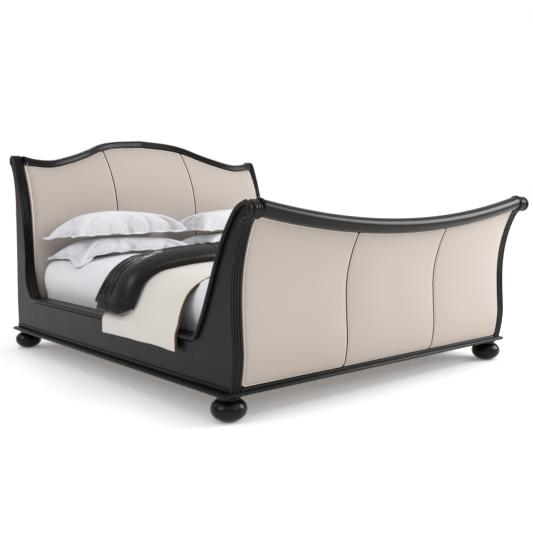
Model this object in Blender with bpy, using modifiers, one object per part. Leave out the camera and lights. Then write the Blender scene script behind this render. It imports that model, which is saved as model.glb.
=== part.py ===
"""Sleigh bed: painted S-shaped posts, upholstered headboard and footboard, and the bedding on it.

Metres, +X across the bed, +Y towards the head, +Z up. The origin is on the floor, at the
centre of the whole bed's length and width. Every piece is placed from the centre of the plinth,
which stands a little towards the head from the origin, because the footboard rolls out further.
"""
import math

import bmesh
import bpy

# Driving dimensions
MATTRESS_WIDTH = 1.80
MATTRESS_LENGTH = 2.00
MATTRESS_DEPTH = 0.30
MATTRESS_ROUNDING = 0.09
MATTRESS_SIDE_GAP = 0.015
MATTRESS_HEAD_GAP = 0.015
RAIL_THICKNESS = 0.095
POST_THICKNESS = 0.076
END_DEPTH = 0.186
PLINTH_REVEAL = 0.020
PLINTH_FRONT_REVEAL = 0.012
PLINTH_WIDTH = 0.125
PLINTH_THICKNESS = 0.0195
FOOT_HEIGHT = 0.116
FOOT_RADIUS = 0.080
FOOT_INSET = 0.077
RAIL_TOP = 0.348
RAIL_CAP_HEIGHT = 0.030
RAIL_END_SETBACK = 0.110
MOULDING = 0.012
FOOTBOARD_HEIGHT = 0.9585
FOOTBOARD_REACH = 0.152
FOOT_SCROLL_RADIUS = 0.041
FOOT_NECK = 0.014
WAIST_HEIGHT = 0.50
WAIST_DEPTH = 0.017
FACE_CURVE = 2.3
ROLL_RADIUS = 0.0355
ROLL_DIP = 0.100
COLLAR_LIP = 0.003
COLLAR_WIDTH = 0.014
HEADBOARD_HEIGHT = 1.259
HEAD_SCROLL_RADIUS = 0.038
HEAD_NECK = 0.015
HEAD_LEAN = 0.240
CREST_RISE = 0.138
CREST_SECTION = 0.045
CREST_DEPTH = 0.070
HEAD_PAD_THICKNESS = 0.055
FOOT_PAD_THICKNESS = 0.030
FOOT_CROWN = 0.012
FOOT_LAYER_ANGLES = (-68, -48, -28, -8)
CORE_THICKNESS = 0.022
BACK_PANEL_THICKNESS = 0.015
INNER_PANEL_THICKNESS = 0.024
SEAM_OFFSET = 0.325
PIPING_RADIUS = 0.0022
SLAT_THICKNESS = 0.018
SLAT_WIDTH = 0.070
SLATS_PER_SIDE = 13
LEDGER_WIDTH = 0.038
LEDGER_HEIGHT = 0.030
BEAM_WIDTH = 0.060
BEAM_HEIGHT = 0.080
LEG_SIZE = 0.050
PILLOW_WIDTH = 0.88
PILLOW_DEPTH = 0.54
LOWER_PILLOW_HEIGHT = 0.125
UPPER_PILLOW_HEIGHT = 0.180
THROW_THICKNESS = 0.007
THROW_LENGTH = 0.695
THROW_POST_GAP = 0.110
THROW_DROP = 0.0961
THROW_HEM = 0.262
RUNNER_THICKNESS = 0.062
RUNNER_END_THICKNESS = 0.015
RUNNER_LENGTH = 0.40
RUNNER_SETBACK = 0.780
GAP = 0.0003

# How finely the lofted panels are divided, along a pad and up it
HEAD_STATIONS = 6
HEAD_ROWS = 12
FOOT_STATIONS = 5
FOOT_ROWS = 10

# Sizes that follow from the driving dimensions
COLLAR_RADIUS = ROLL_RADIUS + COLLAR_LIP
RAIL_HALF_LENGTH = MATTRESS_LENGTH / 2 - RAIL_END_SETBACK
THROW_FOOT_EDGE = -(RAIL_HALF_LENGTH - THROW_POST_GAP)
RUNNER_HEAD_EDGE = THROW_FOOT_EDGE + RUNNER_SETBACK
RAIL_INNER = MATTRESS_WIDTH / 2 + MATTRESS_SIDE_GAP
POST_OUTER = RAIL_INNER + RAIL_THICKNESS
POST_INNER = POST_OUTER - POST_THICKNESS
PLINTH_HALF_WIDTH = POST_OUTER + PLINTH_REVEAL
PLINTH_HALF_LENGTH = MATTRESS_LENGTH / 2 + END_DEPTH
PLINTH_TOP = FOOT_HEIGHT + PLINTH_THICKNESS
POST_FOOT = PLINTH_TOP + GAP
FOOT_FACE = -(PLINTH_HALF_LENGTH - PLINTH_FRONT_REVEAL)
HEAD_FACE = MATTRESS_LENGTH / 2
LEDGER_TOP = RAIL_TOP - 0.063
SLAT_TOP = LEDGER_TOP + GAP + SLAT_THICKNESS
MATTRESS_BOTTOM = SLAT_TOP + GAP
MATTRESS_TOP = MATTRESS_BOTTOM + MATTRESS_DEPTH
FOOT_SCROLL = (FOOT_FACE - FOOTBOARD_REACH + 0.024, FOOTBOARD_HEIGHT - FOOT_SCROLL_RADIUS)
ROLL_Y = FOOT_SCROLL[0] - 0.003
HEAD_SCROLL = (HEAD_FACE + 0.181, HEADBOARD_HEIGHT - HEAD_SCROLL_RADIUS)
BED_FOOT_END = ROLL_Y - COLLAR_RADIUS
PANEL_BOTTOM_FOOT = POST_FOOT + 0.016
PANEL_BOTTOM_HEAD = RAIL_TOP - 0.040
FOOT_LAYERS = (0.0, FOOT_PAD_THICKNESS, FOOT_PAD_THICKNESS + CORE_THICKNESS,
               FOOT_PAD_THICKNESS + CORE_THICKNESS + INNER_PANEL_THICKNESS)
HEAD_LAYERS = (0.0, HEAD_PAD_THICKNESS, HEAD_PAD_THICKNESS + CORE_THICKNESS,
               HEAD_PAD_THICKNESS + CORE_THICKNESS + BACK_PANEL_THICKNESS)


def smooth(points, steps):
    """Points of a soft curve through the given ones, with `steps` spans between neighbours."""
    padded = [points[0]] + list(points) + [points[-1]]
    path = []
    for before, start, end, after in zip(padded, padded[1:], padded[2:], padded[3:]):
        for step in range(steps):
            t = step / steps
            path.append(tuple(
                0.5 * (2 * b + (c - a) * t + (2 * a - 5 * b + 4 * c - d) * t * t
                       + (3 * b - a - 3 * c + d) * t ** 3)
                for a, b, c, d in zip(before, start, end, after)))
    return path + [tuple(points[-1])]


def arc(centre, radius, startDegrees, endDegrees, count):
    """Points along a circular arc, both ends included."""
    span = math.radians(endDegrees - startDegrees)
    start = math.radians(startDegrees)
    return [(centre[0] + radius * math.cos(start + span * i / count),
             centre[1] + radius * math.sin(start + span * i / count)) for i in range(count + 1)]


def offsetPath(path, distance):
    """The path moved to its right by `distance`, which may be a number or one value a point."""
    amounts = distance if isinstance(distance, list) else [distance] * len(path)
    moved = []
    for i, (a, b) in enumerate(path):
        before = path[max(i - 1, 0)]
        after = path[min(i + 1, len(path) - 1)]
        runA, runB = after[0] - before[0], after[1] - before[1]
        size = math.hypot(runA, runB)
        moved.append((a + amounts[i] * runB / size, b - amounts[i] * runA / size))
    return moved


def read(points, at):
    """Value of a smooth curve, given as (position, value) points, at one position."""
    path = smooth(points, 8)
    for (left, low), (right, high) in zip(path, path[1:]):
        if at <= right:
            return low + (high - low) * (at - left) / (right - left)
    return path[-1][1]


# Materials
def material(name, colour, roughness, metallic=0.0):
    made = bpy.data.materials.new(name)
    made.use_nodes = True
    shader = made.node_tree.nodes["Principled BSDF"]
    shader.inputs["Base Color"].default_value = (*colour, 1.0)
    shader.inputs["Roughness"].default_value = roughness
    shader.inputs["Metallic"].default_value = metallic
    return made


for existing in list(bpy.data.objects):
    bpy.data.objects.remove(existing)

BLACK = material("black_lacquer", (0.012, 0.012, 0.013), 0.32)
CREAM = material("cream_upholstery", (0.62, 0.53, 0.46), 0.75)
PIPING = material("brown_piping", (0.10, 0.06, 0.04), 0.6)
TIMBER = material("plain_timber", (0.55, 0.38, 0.22), 0.6)
WHITE = material("white_bedding", (0.83, 0.83, 0.86), 0.8)
THROW = material("cream_throw", (0.74, 0.68, 0.60), 0.8)
QUILT = material("black_quilt", (0.012, 0.012, 0.014), 0.35)

# The parts, the cutters and the empty that carries them all
partsCollection = bpy.data.collections.new("sleigh_bed")
cutterCollection = bpy.data.collections.new("cutters")
bpy.context.scene.collection.children.link(partsCollection)
bpy.context.scene.collection.children.link(cutterCollection)
bedCentre = bpy.data.objects.new("bed_centre", None)
partsCollection.objects.link(bedCentre)


def addPart(name, data, look):
    """Put one sub-part into the bed's collection, under the bed's own empty."""
    data.materials.append(look)
    part = bpy.data.objects.new(name, data)
    part.parent = bedCentre
    partsCollection.objects.link(part)
    return part


def meshFrom(build):
    """Mesh data made by a function that fills a bmesh, with soft curves shaded smooth."""
    shape = bmesh.new()
    build(shape)
    bmesh.ops.recalc_face_normals(shape, faces=shape.faces)
    data = bpy.data.meshes.new("shape")
    shape.to_mesh(data)
    shape.free()
    data.shade_smooth()
    data.set_sharp_from_angle(angle=math.radians(35))
    return data


def box(name, low, high, look, rounding=0.0, segments=2):
    """A block between two corners, with its edges rounded if asked."""
    size = [b - a for a, b in zip(low, high)]

    def build(shape):
        bmesh.ops.create_cube(shape, size=1.0)
        bmesh.ops.scale(shape, vec=size, verts=shape.verts)

    part = addPart(name, meshFrom(build), look)
    part.location = [(a + b) / 2 for a, b in zip(low, high)]
    if rounding:
        bevel = part.modifiers.new("rounded_edges", "BEVEL")
        bevel.width = rounding
        bevel.segments = segments
    return part


def flatOutline(name, outlines, thickness, look):
    """A sheet of even thickness cut to one or more closed outlines, in its own XY plane."""
    data = bpy.data.curves.new(name, "CURVE")
    data.dimensions = "2D"
    data.fill_mode = "BOTH"
    data.extrude = thickness / 2
    for outline in outlines:
        spline = data.splines.new("POLY")
        spline.points.add(len(outline) - 1)
        for point, (a, b) in zip(spline.points, outline):
            point.co = (a, b, 0.0, 1.0)
        spline.use_cyclic_u = True
    return addPart(name, data, look)


def sideOutline(name, outline, xLow, xHigh, look):
    """A board whose outline is drawn in the bed's side view, as (y, z) points."""
    part = flatOutline(name, [outline], xHigh - xLow, look)
    part.rotation_euler = (math.radians(90), 0, math.radians(90))
    part.location = ((xLow + xHigh) / 2, 0, 0)
    return part


def endOutline(name, outline, yLow, yHigh, look):
    """A strip whose outline is drawn in the bed's end view, as (x, z) points."""
    part = flatOutline(name, [outline], yHigh - yLow, look)
    part.rotation_euler = (math.radians(90), 0, 0)
    part.location = (0, (yLow + yHigh) / 2, 0)
    return part


def loft(name, sections, look):
    """A closed solid through matching rings of points, with flat ends.

    The second half of a ring runs back along the first, and its triangles mirror the first half's,
    so two layers that share a line stay the same gap apart between their rings too.
    """
    def build(shape):
        rings = [[shape.verts.new(point) for point in section] for section in sections]
        count = len(rings[0])
        for first, second in zip(rings, rings[1:]):
            for i in range(count):
                j = (i + 1) % count
                if i < count // 2:
                    shape.faces.new((first[i], first[j], second[i]))
                    shape.faces.new((first[j], second[j], second[i]))
                else:
                    shape.faces.new((first[i], first[j], second[j]))
                    shape.faces.new((first[i], second[j], second[i]))
        shape.faces.new(rings[0])
        shape.faces.new(list(reversed(rings[-1])))

    return addPart(name, meshFrom(build), look)


def stations(low, high, count):
    return [low + (high - low) * i / count for i in range(count + 1)]


def mirrored(side, near, far):
    """The x range of a piece on one side of the bed, low value first."""
    return (near, far) if side > 0 else (-far, -near)


SIDES = (("left", -1), ("right", 1))
ENDS = (("foot_end", -1), ("head_end", 1))


# Feet and plinth
def bunFoot(name, x, y):
    """A turned foot: a squashed ball on a small flat base, with a short neck."""
    ballHeight = FOOT_HEIGHT - 0.012
    base, neck = 0.036, 0.052
    profile = [(0.0, FOOT_HEIGHT - GAP), (neck, FOOT_HEIGHT - GAP), (neck, ballHeight)]
    steps = 9
    top = math.asin((ballHeight - 0.052) / 0.056)
    bottom = -math.asin((0.052 - 0.004) / 0.056)
    for i in range(steps + 1):
        angle = top + (bottom - top) * i / steps
        profile.append((FOOT_RADIUS * math.cos(angle), 0.052 + 0.056 * math.sin(angle)))
    profile += [(base, 0.0), (0.0, 0.0)]
    data = bpy.data.meshes.new(name)
    data.from_pydata([(radius, 0.0, height) for radius, height in profile],
                     [(i, i + 1) for i in range(len(profile) - 1)], [])
    foot = addPart(name, data, BLACK)
    foot.location = (x, y, 0)
    screw = foot.modifiers.new("turned", "SCREW")
    screw.steps = screw.render_steps = 20
    screw.use_merge_vertices = True
    screw.merge_threshold = 0.0001
    screw.use_normal_calculate = True


def plinthPiece(name, alongX, side):
    """One side of the plinth: a bullnose board with mitred ends."""
    half = PLINTH_THICKNESS / 2
    nose = arc((-half, FOOT_HEIGHT + half), half, -90, 90, 6)
    outline = [(-PLINTH_WIDTH, FOOT_HEIGHT)] + nose + [(-PLINTH_WIDTH, PLINTH_TOP)]
    reach = PLINTH_HALF_WIDTH if alongX else PLINTH_HALF_LENGTH
    place = PLINTH_HALF_LENGTH if alongX else PLINTH_HALF_WIDTH
    sections = []
    for end in (-1, 1):
        ring = []
        for out, z in outline:
            along = end * (reach + out - GAP)
            across = side * (place + out)
            ring.append((along, across, z) if alongX else (across, along, z))
        sections.append(ring)
    loft(name, sections, BLACK)


def buildBase():
    for endName, end in ENDS:
        for sideName, side in SIDES:
            bunFoot(f"bun_foot_{endName}_{sideName}", side * (PLINTH_HALF_WIDTH - FOOT_INSET),
                    end * (PLINTH_HALF_LENGTH - FOOT_INSET))
        plinthPiece(f"plinth_{endName}", True, end)
    for sideName, side in SIDES:
        plinthPiece(f"plinth_{sideName}", False, side)


# Side rails
def buildSideRails():
    capBottom = RAIL_TOP - RAIL_CAP_HEIGHT
    railEnd = RAIL_HALF_LENGTH - GAP
    for sideName, side in SIDES:
        low, high = mirrored(side, RAIL_INNER, POST_OUTER)
        box(f"side_rail_{sideName}", (low, -railEnd, POST_FOOT), (high, railEnd, capBottom - GAP), BLACK)
        radius = 0.013
        top = arc((high - radius, RAIL_TOP - radius), radius, 0, 90, 4)
        top += arc((low + radius, RAIL_TOP - radius), radius, 90, 180, 4)
        outline = [(low, capBottom), (high, capBottom)] + top
        endOutline(f"rail_cap_{sideName}", outline, -railEnd, railEnd, BLACK)
        low, high = mirrored(side, RAIL_INNER - LEDGER_WIDTH, RAIL_INNER - GAP)
        box(f"slat_ledger_{sideName}", (low, -railEnd, LEDGER_TOP - LEDGER_HEIGHT),
            (high, railEnd, LEDGER_TOP), TIMBER)


# Footboard
def footFace(height, top):
    """Front of the footboard at a height, where its S ends at the height `top`: (z, y)."""
    waist = FOOT_FACE - WAIST_DEPTH
    shape = [(POST_FOOT, FOOT_FACE), (0.20, FOOT_FACE - 0.015), (0.29, FOOT_FACE - 0.026),
             (0.40, FOOT_FACE - 0.021), (WAIST_HEIGHT, waist)]
    if height <= WAIST_HEIGHT:
        return read(shape, height)
    rise = (height - WAIST_HEIGHT) / (top - WAIST_HEIGHT)
    neck = FOOT_SCROLL[0] + FOOT_NECK
    return waist + (neck - waist) * rise ** FACE_CURVE


def footPostPaths():
    """The footboard post's outline: its bed-side sweep to the scroll's front, then its front."""
    y, z = FOOT_SCROLL
    joint = -RAIL_HALF_LENGTH
    run = y - joint
    rise = z - RAIL_TOP
    shares = ((0.0, 0.0), (0.1214, 0.0790), (0.2330, 0.2107), (0.3544, 0.4074), (0.4757, 0.6093),
              (0.5971, 0.7849), (0.7282, 0.9271), (0.8544, 1.0272))
    sweep = [(joint + run * along, RAIL_TOP + rise * up) for along, up in shares]
    top = arc((y, z), FOOT_SCROLL_RADIUS, 88, 180, 7)
    bedSide = smooth(sweep + [top[0]], 2) + top[1:]
    neckHeight = z - FOOT_SCROLL_RADIUS - 0.010
    front = arc((y, z), FOOT_SCROLL_RADIUS, 180, 285, 7)
    heights = stations(neckHeight, POST_FOOT, 12)
    front += [(footFace(height, z - 0.030), height) for height in heights]
    return bedSide, front


def buildFootPosts():
    bedSide, front = footPostPaths()
    whole = bedSide + front[1:]
    inner = offsetPath(whole, -MOULDING - GAP)
    turn = len(bedSide) - 1
    foot = (-RAIL_HALF_LENGTH, POST_FOOT)
    board = [foot, (-RAIL_HALF_LENGTH, inner[0][1])] + inner[1:-1] + [(inner[-1][0], POST_FOOT)]
    skin = offsetPath(whole, -MOULDING)
    skin[0] = (-RAIL_HALF_LENGTH, skin[0][1])
    sweepStrip = whole[:turn + 1] + skin[turn::-1]
    frontPath = whole[turn:]
    frontPath[0] = (frontPath[0][0], frontPath[0][1] - GAP)
    frontSkin = skin[turn:]
    frontSkin[0] = (frontSkin[0][0], frontSkin[0][1] - GAP)
    frontSkin[-1] = (frontSkin[-1][0], POST_FOOT)
    frontStrip = frontPath + frontSkin[::-1]
    for sideName, side in SIDES:
        low, high = mirrored(side, POST_INNER, POST_OUTER)
        sideOutline(f"footboard_post_{sideName}", board, low, high, BLACK)
        sideOutline(f"footboard_sweep_moulding_{sideName}", sweepStrip, low, high, BLACK)
        sideOutline(f"footboard_reeded_moulding_{sideName}", frontStrip, low, high, BLACK)


def rollHeight(x):
    """Height of the roll's axis: a shallow parabola, lowest at the middle and level in the collars."""
    endHeight = FOOT_SCROLL[1] + 0.008
    across = min(abs(x) / (POST_INNER - COLLAR_WIDTH), 1.0)
    return endHeight - ROLL_DIP * (1 - across ** 2)


def footLine(x, layer):
    """Line between two layers of the footboard at one x, bottom to top, as (y, z) points.

    Layer 0 is the pads' front, 1 and 2 are the core's two faces and 3 is the bed-side face.
    """
    depth = FOOT_LAYERS[layer]
    reach = COLLAR_RADIUS + 3 * GAP
    angle = math.radians(FOOT_LAYER_ANGLES[layer])
    endY = ROLL_Y + reach * math.cos(angle)
    endZ = rollHeight(x) + reach * math.sin(angle)
    drift = endY - (footFace(endZ, endZ) + depth)
    line = []
    for row in stations(0.0, 1.0, FOOT_ROWS):
        z = PANEL_BOTTOM_FOOT + (endZ - PANEL_BOTTOM_FOOT) * row
        line.append((footFace(z, endZ) + depth + drift * row ** 3, z))
    return line


def layerSection(x, front, back, crown=0.0):
    """Ring of one layer between its front and back lines, half a gap inside each of them."""
    count = len(front) - 1
    near = [(y - crown * math.sin(math.pi * i / count), z)
            for i, (y, z) in enumerate(offsetPath(front, GAP))]
    far = offsetPath(back, -GAP)
    return [(x, y, z) for y, z in near + far[::-1]]


def buildFootboard():
    buildFootPosts()
    collarX = POST_INNER - GAP
    rollEnd = collarX - COLLAR_WIDTH - GAP
    for sideName, side in SIDES:
        ring = []
        for radius, along in ((COLLAR_RADIUS - 0.004, 0.0), (COLLAR_RADIUS, 0.004),
                              (COLLAR_RADIUS, COLLAR_WIDTH - 0.004),
                              (COLLAR_RADIUS - 0.004, COLLAR_WIDTH)):
            circle = arc((ROLL_Y, rollHeight(rollEnd)), radius, 0, 345, 23)
            ring.append([(side * (collarX - along), y, z) for y, z in circle])
        loft(f"footboard_collar_{sideName}", ring, BLACK)
    sections = []
    for x in stations(-rollEnd, rollEnd, 20):
        circle = arc((ROLL_Y, rollHeight(x)), ROLL_RADIUS, 0, 340, 17)
        sections.append([(x, y, z) for y, z in circle])
    loft("footboard_roll_rail", sections, BLACK)
    edge = POST_INNER - GAP
    box("footboard_bottom_rail", (-edge, FOOT_FACE - 0.006, POST_FOOT),
        (edge, FOOT_FACE + 0.075, PANEL_BOTTOM_FOOT - GAP), BLACK)
    for padName, low, high in padRanges():
        sections = [layerSection(x, footLine(x, 0), footLine(x, 1), FOOT_CROWN)
                    for x in stations(low, high, FOOT_STATIONS)]
        loft(f"footboard_pad_{padName}", sections, CREAM)
    for name, layer, look in (("footboard_core_panel", 1, TIMBER), ("footboard_inner_panel", 2, CREAM)):
        sections = [layerSection(x, footLine(x, layer), footLine(x, layer + 1))
                    for x in padStations(FOOT_STATIONS)]
        loft(name, sections, look)
    for sideName, side in SIDES:
        ring = layerSection(side * SEAM_OFFSET, footLine(SEAM_OFFSET, 0), footLine(SEAM_OFFSET, 1),
                            FOOT_CROWN)
        buildPiping(f"footboard_piping_{sideName}", ring[:len(ring) // 2])


def padRanges():
    """The x ranges of the three pads, which leave room for a piping cord at each seam."""
    edge = POST_INNER - GAP
    clear = PIPING_RADIUS + GAP
    return (("left", -edge, -SEAM_OFFSET - clear), ("centre", -SEAM_OFFSET + clear, SEAM_OFFSET - clear),
            ("right", SEAM_OFFSET + clear, edge))


def padStations(count):
    """The pads' own x stations in one list, so that the panels behind them have the same facets."""
    return [x for _, low, high in padRanges() for x in stations(low, high, count)]


def buildPiping(name, line):
    """A thin cord in the seam between two pads, level with their faces and a radius short of their ends."""
    (x, yLow, zLow), (_, yHigh, zHigh) = line[0], line[-1]
    line = [(x, yLow, zLow + PIPING_RADIUS)] + line[1:-1] + [(x, yHigh, zHigh - PIPING_RADIUS)]
    data = bpy.data.curves.new(name, "CURVE")
    data.dimensions = "3D"
    data.bevel_depth = PIPING_RADIUS
    data.bevel_resolution = 1
    data.use_fill_caps = True
    spline = data.splines.new("POLY")
    spline.points.add(len(line) - 1)
    for point, place in zip(spline.points, line):
        point.co = (*place, 1.0)
    addPart(name, data, PIPING)


# Headboard
def headFace(height):
    """Front of the headboard's pads at a height: upright, then leaning back ever more."""
    start = MATTRESS_TOP + 0.20
    rise = max(0.0, height - start) / 0.55
    return HEAD_FACE + HEAD_LEAN * rise ** FACE_CURVE


def crestTop(x):
    """Top of the serpentine rail: a high middle, a dip near each end and a rise at the post."""
    end = HEADBOARD_HEIGHT - 0.006
    rise = CREST_RISE
    across = abs(x) / POST_INNER
    shape = [(0.0, end + rise + 0.006), (0.23, end + 0.93 * rise), (0.37, end + 0.74 * rise),
             (0.50, end + 0.40 * rise), (0.63, end + 0.11 * rise), (0.76, end - 0.12 * rise),
             (0.84, end - 0.17 * rise), (0.93, end - 0.12 * rise), (1.0, end)]
    return read(shape, across)


def buildHeadPosts():
    y, z = HEAD_SCROLL
    joint = RAIL_HALF_LENGTH
    run = y - HEAD_SCROLL_RADIUS - HEAD_NECK - joint
    rise = z - 0.020 - RAIL_TOP
    shares = ((0.0, 0.0), (0.189, 0.0293), (0.336, 0.0844), (0.4286, 0.1782), (0.4916, 0.2954),
              (0.5378, 0.4713), (0.5840, 0.6002), (0.6723, 0.7233), (0.7857, 0.8347), (0.9118, 0.9343),
              (1.0, 1.0))
    sweep = [(joint + run * along, RAIL_TOP + rise * up) for along, up in shares]
    scroll = arc((y, z), HEAD_SCROLL_RADIUS, 160, -55, 12)
    front = smooth(sweep + [scroll[0]], 2) + scroll[1:]
    back = smooth([scroll[-1], (y - 0.010, z - 0.075), (y - 0.032, z - 0.150), (y - 0.042, 0.970),
                   (y - 0.038, 0.850), (y - 0.030, 0.640), (y - 0.018, 0.420), (y - 0.012, 0.300),
                   (y - 0.016, POST_FOOT)], 2)
    inner = offsetPath(front, MOULDING + GAP)
    foot = [(back[-1][0], POST_FOOT), (joint, POST_FOOT)]
    board = foot + [(joint, inner[0][1])] + inner[1:] + back[1:-1]
    skin = offsetPath(front, MOULDING)
    skin[0] = (joint, skin[0][1])
    strip = front + skin[::-1]
    for sideName, side in SIDES:
        low, high = mirrored(side, POST_INNER, POST_OUTER)
        sideOutline(f"headboard_post_{sideName}", board, low, high, BLACK)
        sideOutline(f"headboard_reeded_moulding_{sideName}", strip, low, high, BLACK)


def headLine(x, layer):
    """Line between two layers of the headboard at one x, bottom to top, as (y, z) points."""
    top = crestTop(x) - CREST_SECTION - 3 * GAP
    line = []
    for row in stations(0.0, 1.0, HEAD_ROWS):
        z = PANEL_BOTTOM_HEAD + (top - PANEL_BOTTOM_HEAD) * row
        slim = 1.0 - 0.42 * row ** 4
        line.append((headFace(z) + HEAD_LAYERS[layer] * slim, z))
    return line


def crestRing(x):
    """Rounded section of the serpentine rail at one x."""
    top = crestTop(x)
    front = headFace(top - CREST_SECTION) - 0.010
    radius = 0.016
    low, high = top - CREST_SECTION + radius, top - radius
    near, far = front + radius, front + CREST_DEPTH - radius
    ring = arc((near, high), radius, 180, 90, 4) + arc((far, high), radius, 90, 0, 4)
    ring += arc((far, low), radius, 0, -90, 4) + arc((near, low), radius, -90, -180, 4)
    return [(x, y, z) for y, z in ring]


def buildHeadboard():
    buildHeadPosts()
    edge = POST_INNER - GAP
    loft("headboard_crest_rail", [crestRing(x) for x in padStations(HEAD_STATIONS)], BLACK)
    box("headboard_bottom_rail", (-edge, HEAD_FACE + 0.030, POST_FOOT),
        (edge, HEAD_FACE + 0.120, PANEL_BOTTOM_HEAD - GAP), BLACK)
    for padName, low, high in padRanges():
        sections = [layerSection(x, headLine(x, 0), headLine(x, 1)) for x in stations(low, high, HEAD_STATIONS)]
        loft(f"headboard_pad_{padName}", sections, CREAM)
    for name, layer, look in (("headboard_core_panel", 1, TIMBER), ("headboard_back_panel", 2, BLACK)):
        sections = [layerSection(x, headLine(x, layer), headLine(x, layer + 1))
                    for x in padStations(HEAD_STATIONS)]
        loft(name, sections, look)
    for sideName, side in SIDES:
        ring = layerSection(side * SEAM_OFFSET, headLine(SEAM_OFFSET, 0), headLine(SEAM_OFFSET, 1))
        buildPiping(f"headboard_piping_{sideName}", ring[:len(ring) // 2])


# Slats, beam, legs and corner blocks
def buildMattressSupport():
    beamTop = LEDGER_TOP
    beamEndFoot = FOOT_FACE + 0.085
    beamEndHead = HEAD_FACE + 0.029
    box("centre_beam", (-BEAM_WIDTH / 2, beamEndFoot, beamTop - BEAM_HEIGHT),
        (BEAM_WIDTH / 2, beamEndHead, beamTop), TIMBER)
    for legName, y in (("foot_end", -0.45), ("head_end", 0.45)):
        box(f"centre_leg_{legName}", (-LEG_SIZE / 2, y - LEG_SIZE / 2, 0.0),
            (LEG_SIZE / 2, y + LEG_SIZE / 2, beamTop - BEAM_HEIGHT - GAP), BLACK)
    slatEnd = RAIL_HALF_LENGTH + 0.070
    inner, outer = 0.004, RAIL_INNER - 2 * GAP
    strap = 0.030
    pitch = (2 * slatEnd - SLAT_WIDTH) / (SLATS_PER_SIDE - 1)
    for sideName, side in SIDES:
        low, high = mirrored(side, inner, outer)
        outlines = [[(low, -slatEnd), (high, -slatEnd), (high, slatEnd), (low, slatEnd)]]
        for i in range(SLATS_PER_SIDE - 1):
            start = -slatEnd + SLAT_WIDTH + i * pitch
            end = start + pitch - SLAT_WIDTH
            outlines.append([(low + strap, start), (low + strap, end),
                             (high - strap, end), (high - strap, start)])
        slats = flatOutline(f"slat_set_{sideName}", outlines, SLAT_THICKNESS, TIMBER)
        slats.location = (0, 0, LEDGER_TOP + GAP + SLAT_THICKNESS / 2)
    for endName, end in ENDS:
        for sideName, side in SIDES:
            low, high = mirrored(side, POST_INNER - 0.090, POST_INNER - GAP)
            near, far = sorted((end * (RAIL_HALF_LENGTH + GAP), end * (RAIL_HALF_LENGTH + 0.120)))
            box(f"corner_block_{endName}_{sideName}", (low, near, POST_FOOT),
                (high, far, LEDGER_TOP - LEDGER_HEIGHT - GAP), TIMBER)


# Bedding
def pillow(name, x, y, bottom, height):
    """A plump rounded cushion, flattened below and above where it is pressed."""
    def build(shape):
        bmesh.ops.create_uvsphere(shape, u_segments=20, v_segments=10, radius=1.0)
        for vert in shape.verts:
            flat = math.hypot(vert.co.x, vert.co.y)
            reach = flat ** 0.75
            angle = math.atan2(vert.co.y, vert.co.x)
            across = math.copysign(abs(math.cos(angle)) ** 0.45, math.cos(angle))
            along = math.copysign(abs(math.sin(angle)) ** 0.45, math.sin(angle))
            rise = max(-0.42, min(0.42, 0.5 * vert.co.z)) / 0.84
            vert.co = (across * reach * PILLOW_WIDTH / 2, along * reach * PILLOW_DEPTH / 2, rise * height)

    part = addPart(name, meshFrom(build), WHITE)
    part.location = (x, y, bottom + height / 2)


def drapePath():
    """Under surface of the throw in the end view: over the mattress and down past the rail."""
    corner = (MATTRESS_WIDTH / 2 - MATTRESS_ROUNDING, MATTRESS_TOP - MATTRESS_ROUNDING)
    radius = MATTRESS_ROUNDING + 0.001
    shoulder = arc(corner, radius, 90, 30, 4)
    hangX = POST_OUTER + 0.0035
    down = smooth([shoulder[-1], (RAIL_INNER + 0.020, shoulder[-1][1] - THROW_DROP),
                   (POST_OUTER - 0.018, RAIL_TOP + 0.040), (hangX, RAIL_TOP - 0.005)], 3)
    half = shoulder + down[1:] + [(hangX, THROW_HEM)]
    return [(-x, z) for x, z in half[::-1]] + half


def buildBedding():
    y = -MATTRESS_HEAD_GAP
    half = MATTRESS_LENGTH / 2
    box("mattress", (-MATTRESS_WIDTH / 2, y - half, MATTRESS_BOTTOM),
        (MATTRESS_WIDTH / 2, y + half, MATTRESS_TOP), WHITE, MATTRESS_ROUNDING, 5)
    pillowX = PILLOW_WIDTH / 2 + 0.008
    pillowY = HEAD_FACE - 0.030 - PILLOW_DEPTH / 2
    lowerTop = MATTRESS_TOP + GAP + LOWER_PILLOW_HEIGHT
    for sideName, side in SIDES:
        pillow(f"pillow_lower_{sideName}", side * pillowX, pillowY, MATTRESS_TOP + GAP,
               LOWER_PILLOW_HEIGHT)
        pillow(f"pillow_upper_{sideName}", side * pillowX, pillowY, lowerTop + GAP,
               UPPER_PILLOW_HEIGHT)
    under = drapePath()
    throwTop = offsetPath(under, -THROW_THICKNESS)
    endOutline("throw", under + throwTop[::-1], THROW_FOOT_EDGE, THROW_FOOT_EDGE + THROW_LENGTH, THROW)
    seat = offsetPath(under, -THROW_THICKNESS - 0.001)[2:-2]
    reach = MATTRESS_WIDTH / 2 - MATTRESS_ROUNDING
    thick = []
    for x, z in seat:
        fade = min(1.0, max(0.0, (abs(x) - reach) / 0.18))
        thick.append(-RUNNER_THICKNESS + (RUNNER_THICKNESS - RUNNER_END_THICKNESS) * fade)
    runnerTop = offsetPath(seat, thick)
    endOutline("runner", seat + runnerTop[::-1], RUNNER_HEAD_EDGE - RUNNER_LENGTH, RUNNER_HEAD_EDGE, QUILT)


buildBase()
buildSideRails()
buildFootboard()
buildHeadboard()
buildMattressSupport()
buildBedding()

# The plinth's centre stands so that the bed's two ends are equally far from the origin.
crest = crestRing(0.0)
bedHeadEnd = max(point[1] for point in crest)
bedCentre.location = (0.0, (-BED_FOOT_END - bedHeadEnd) / 2, 0.0)
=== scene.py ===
import math

import bmesh
import bpy
import numpy as np
from mathutils import Matrix, Vector


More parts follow.
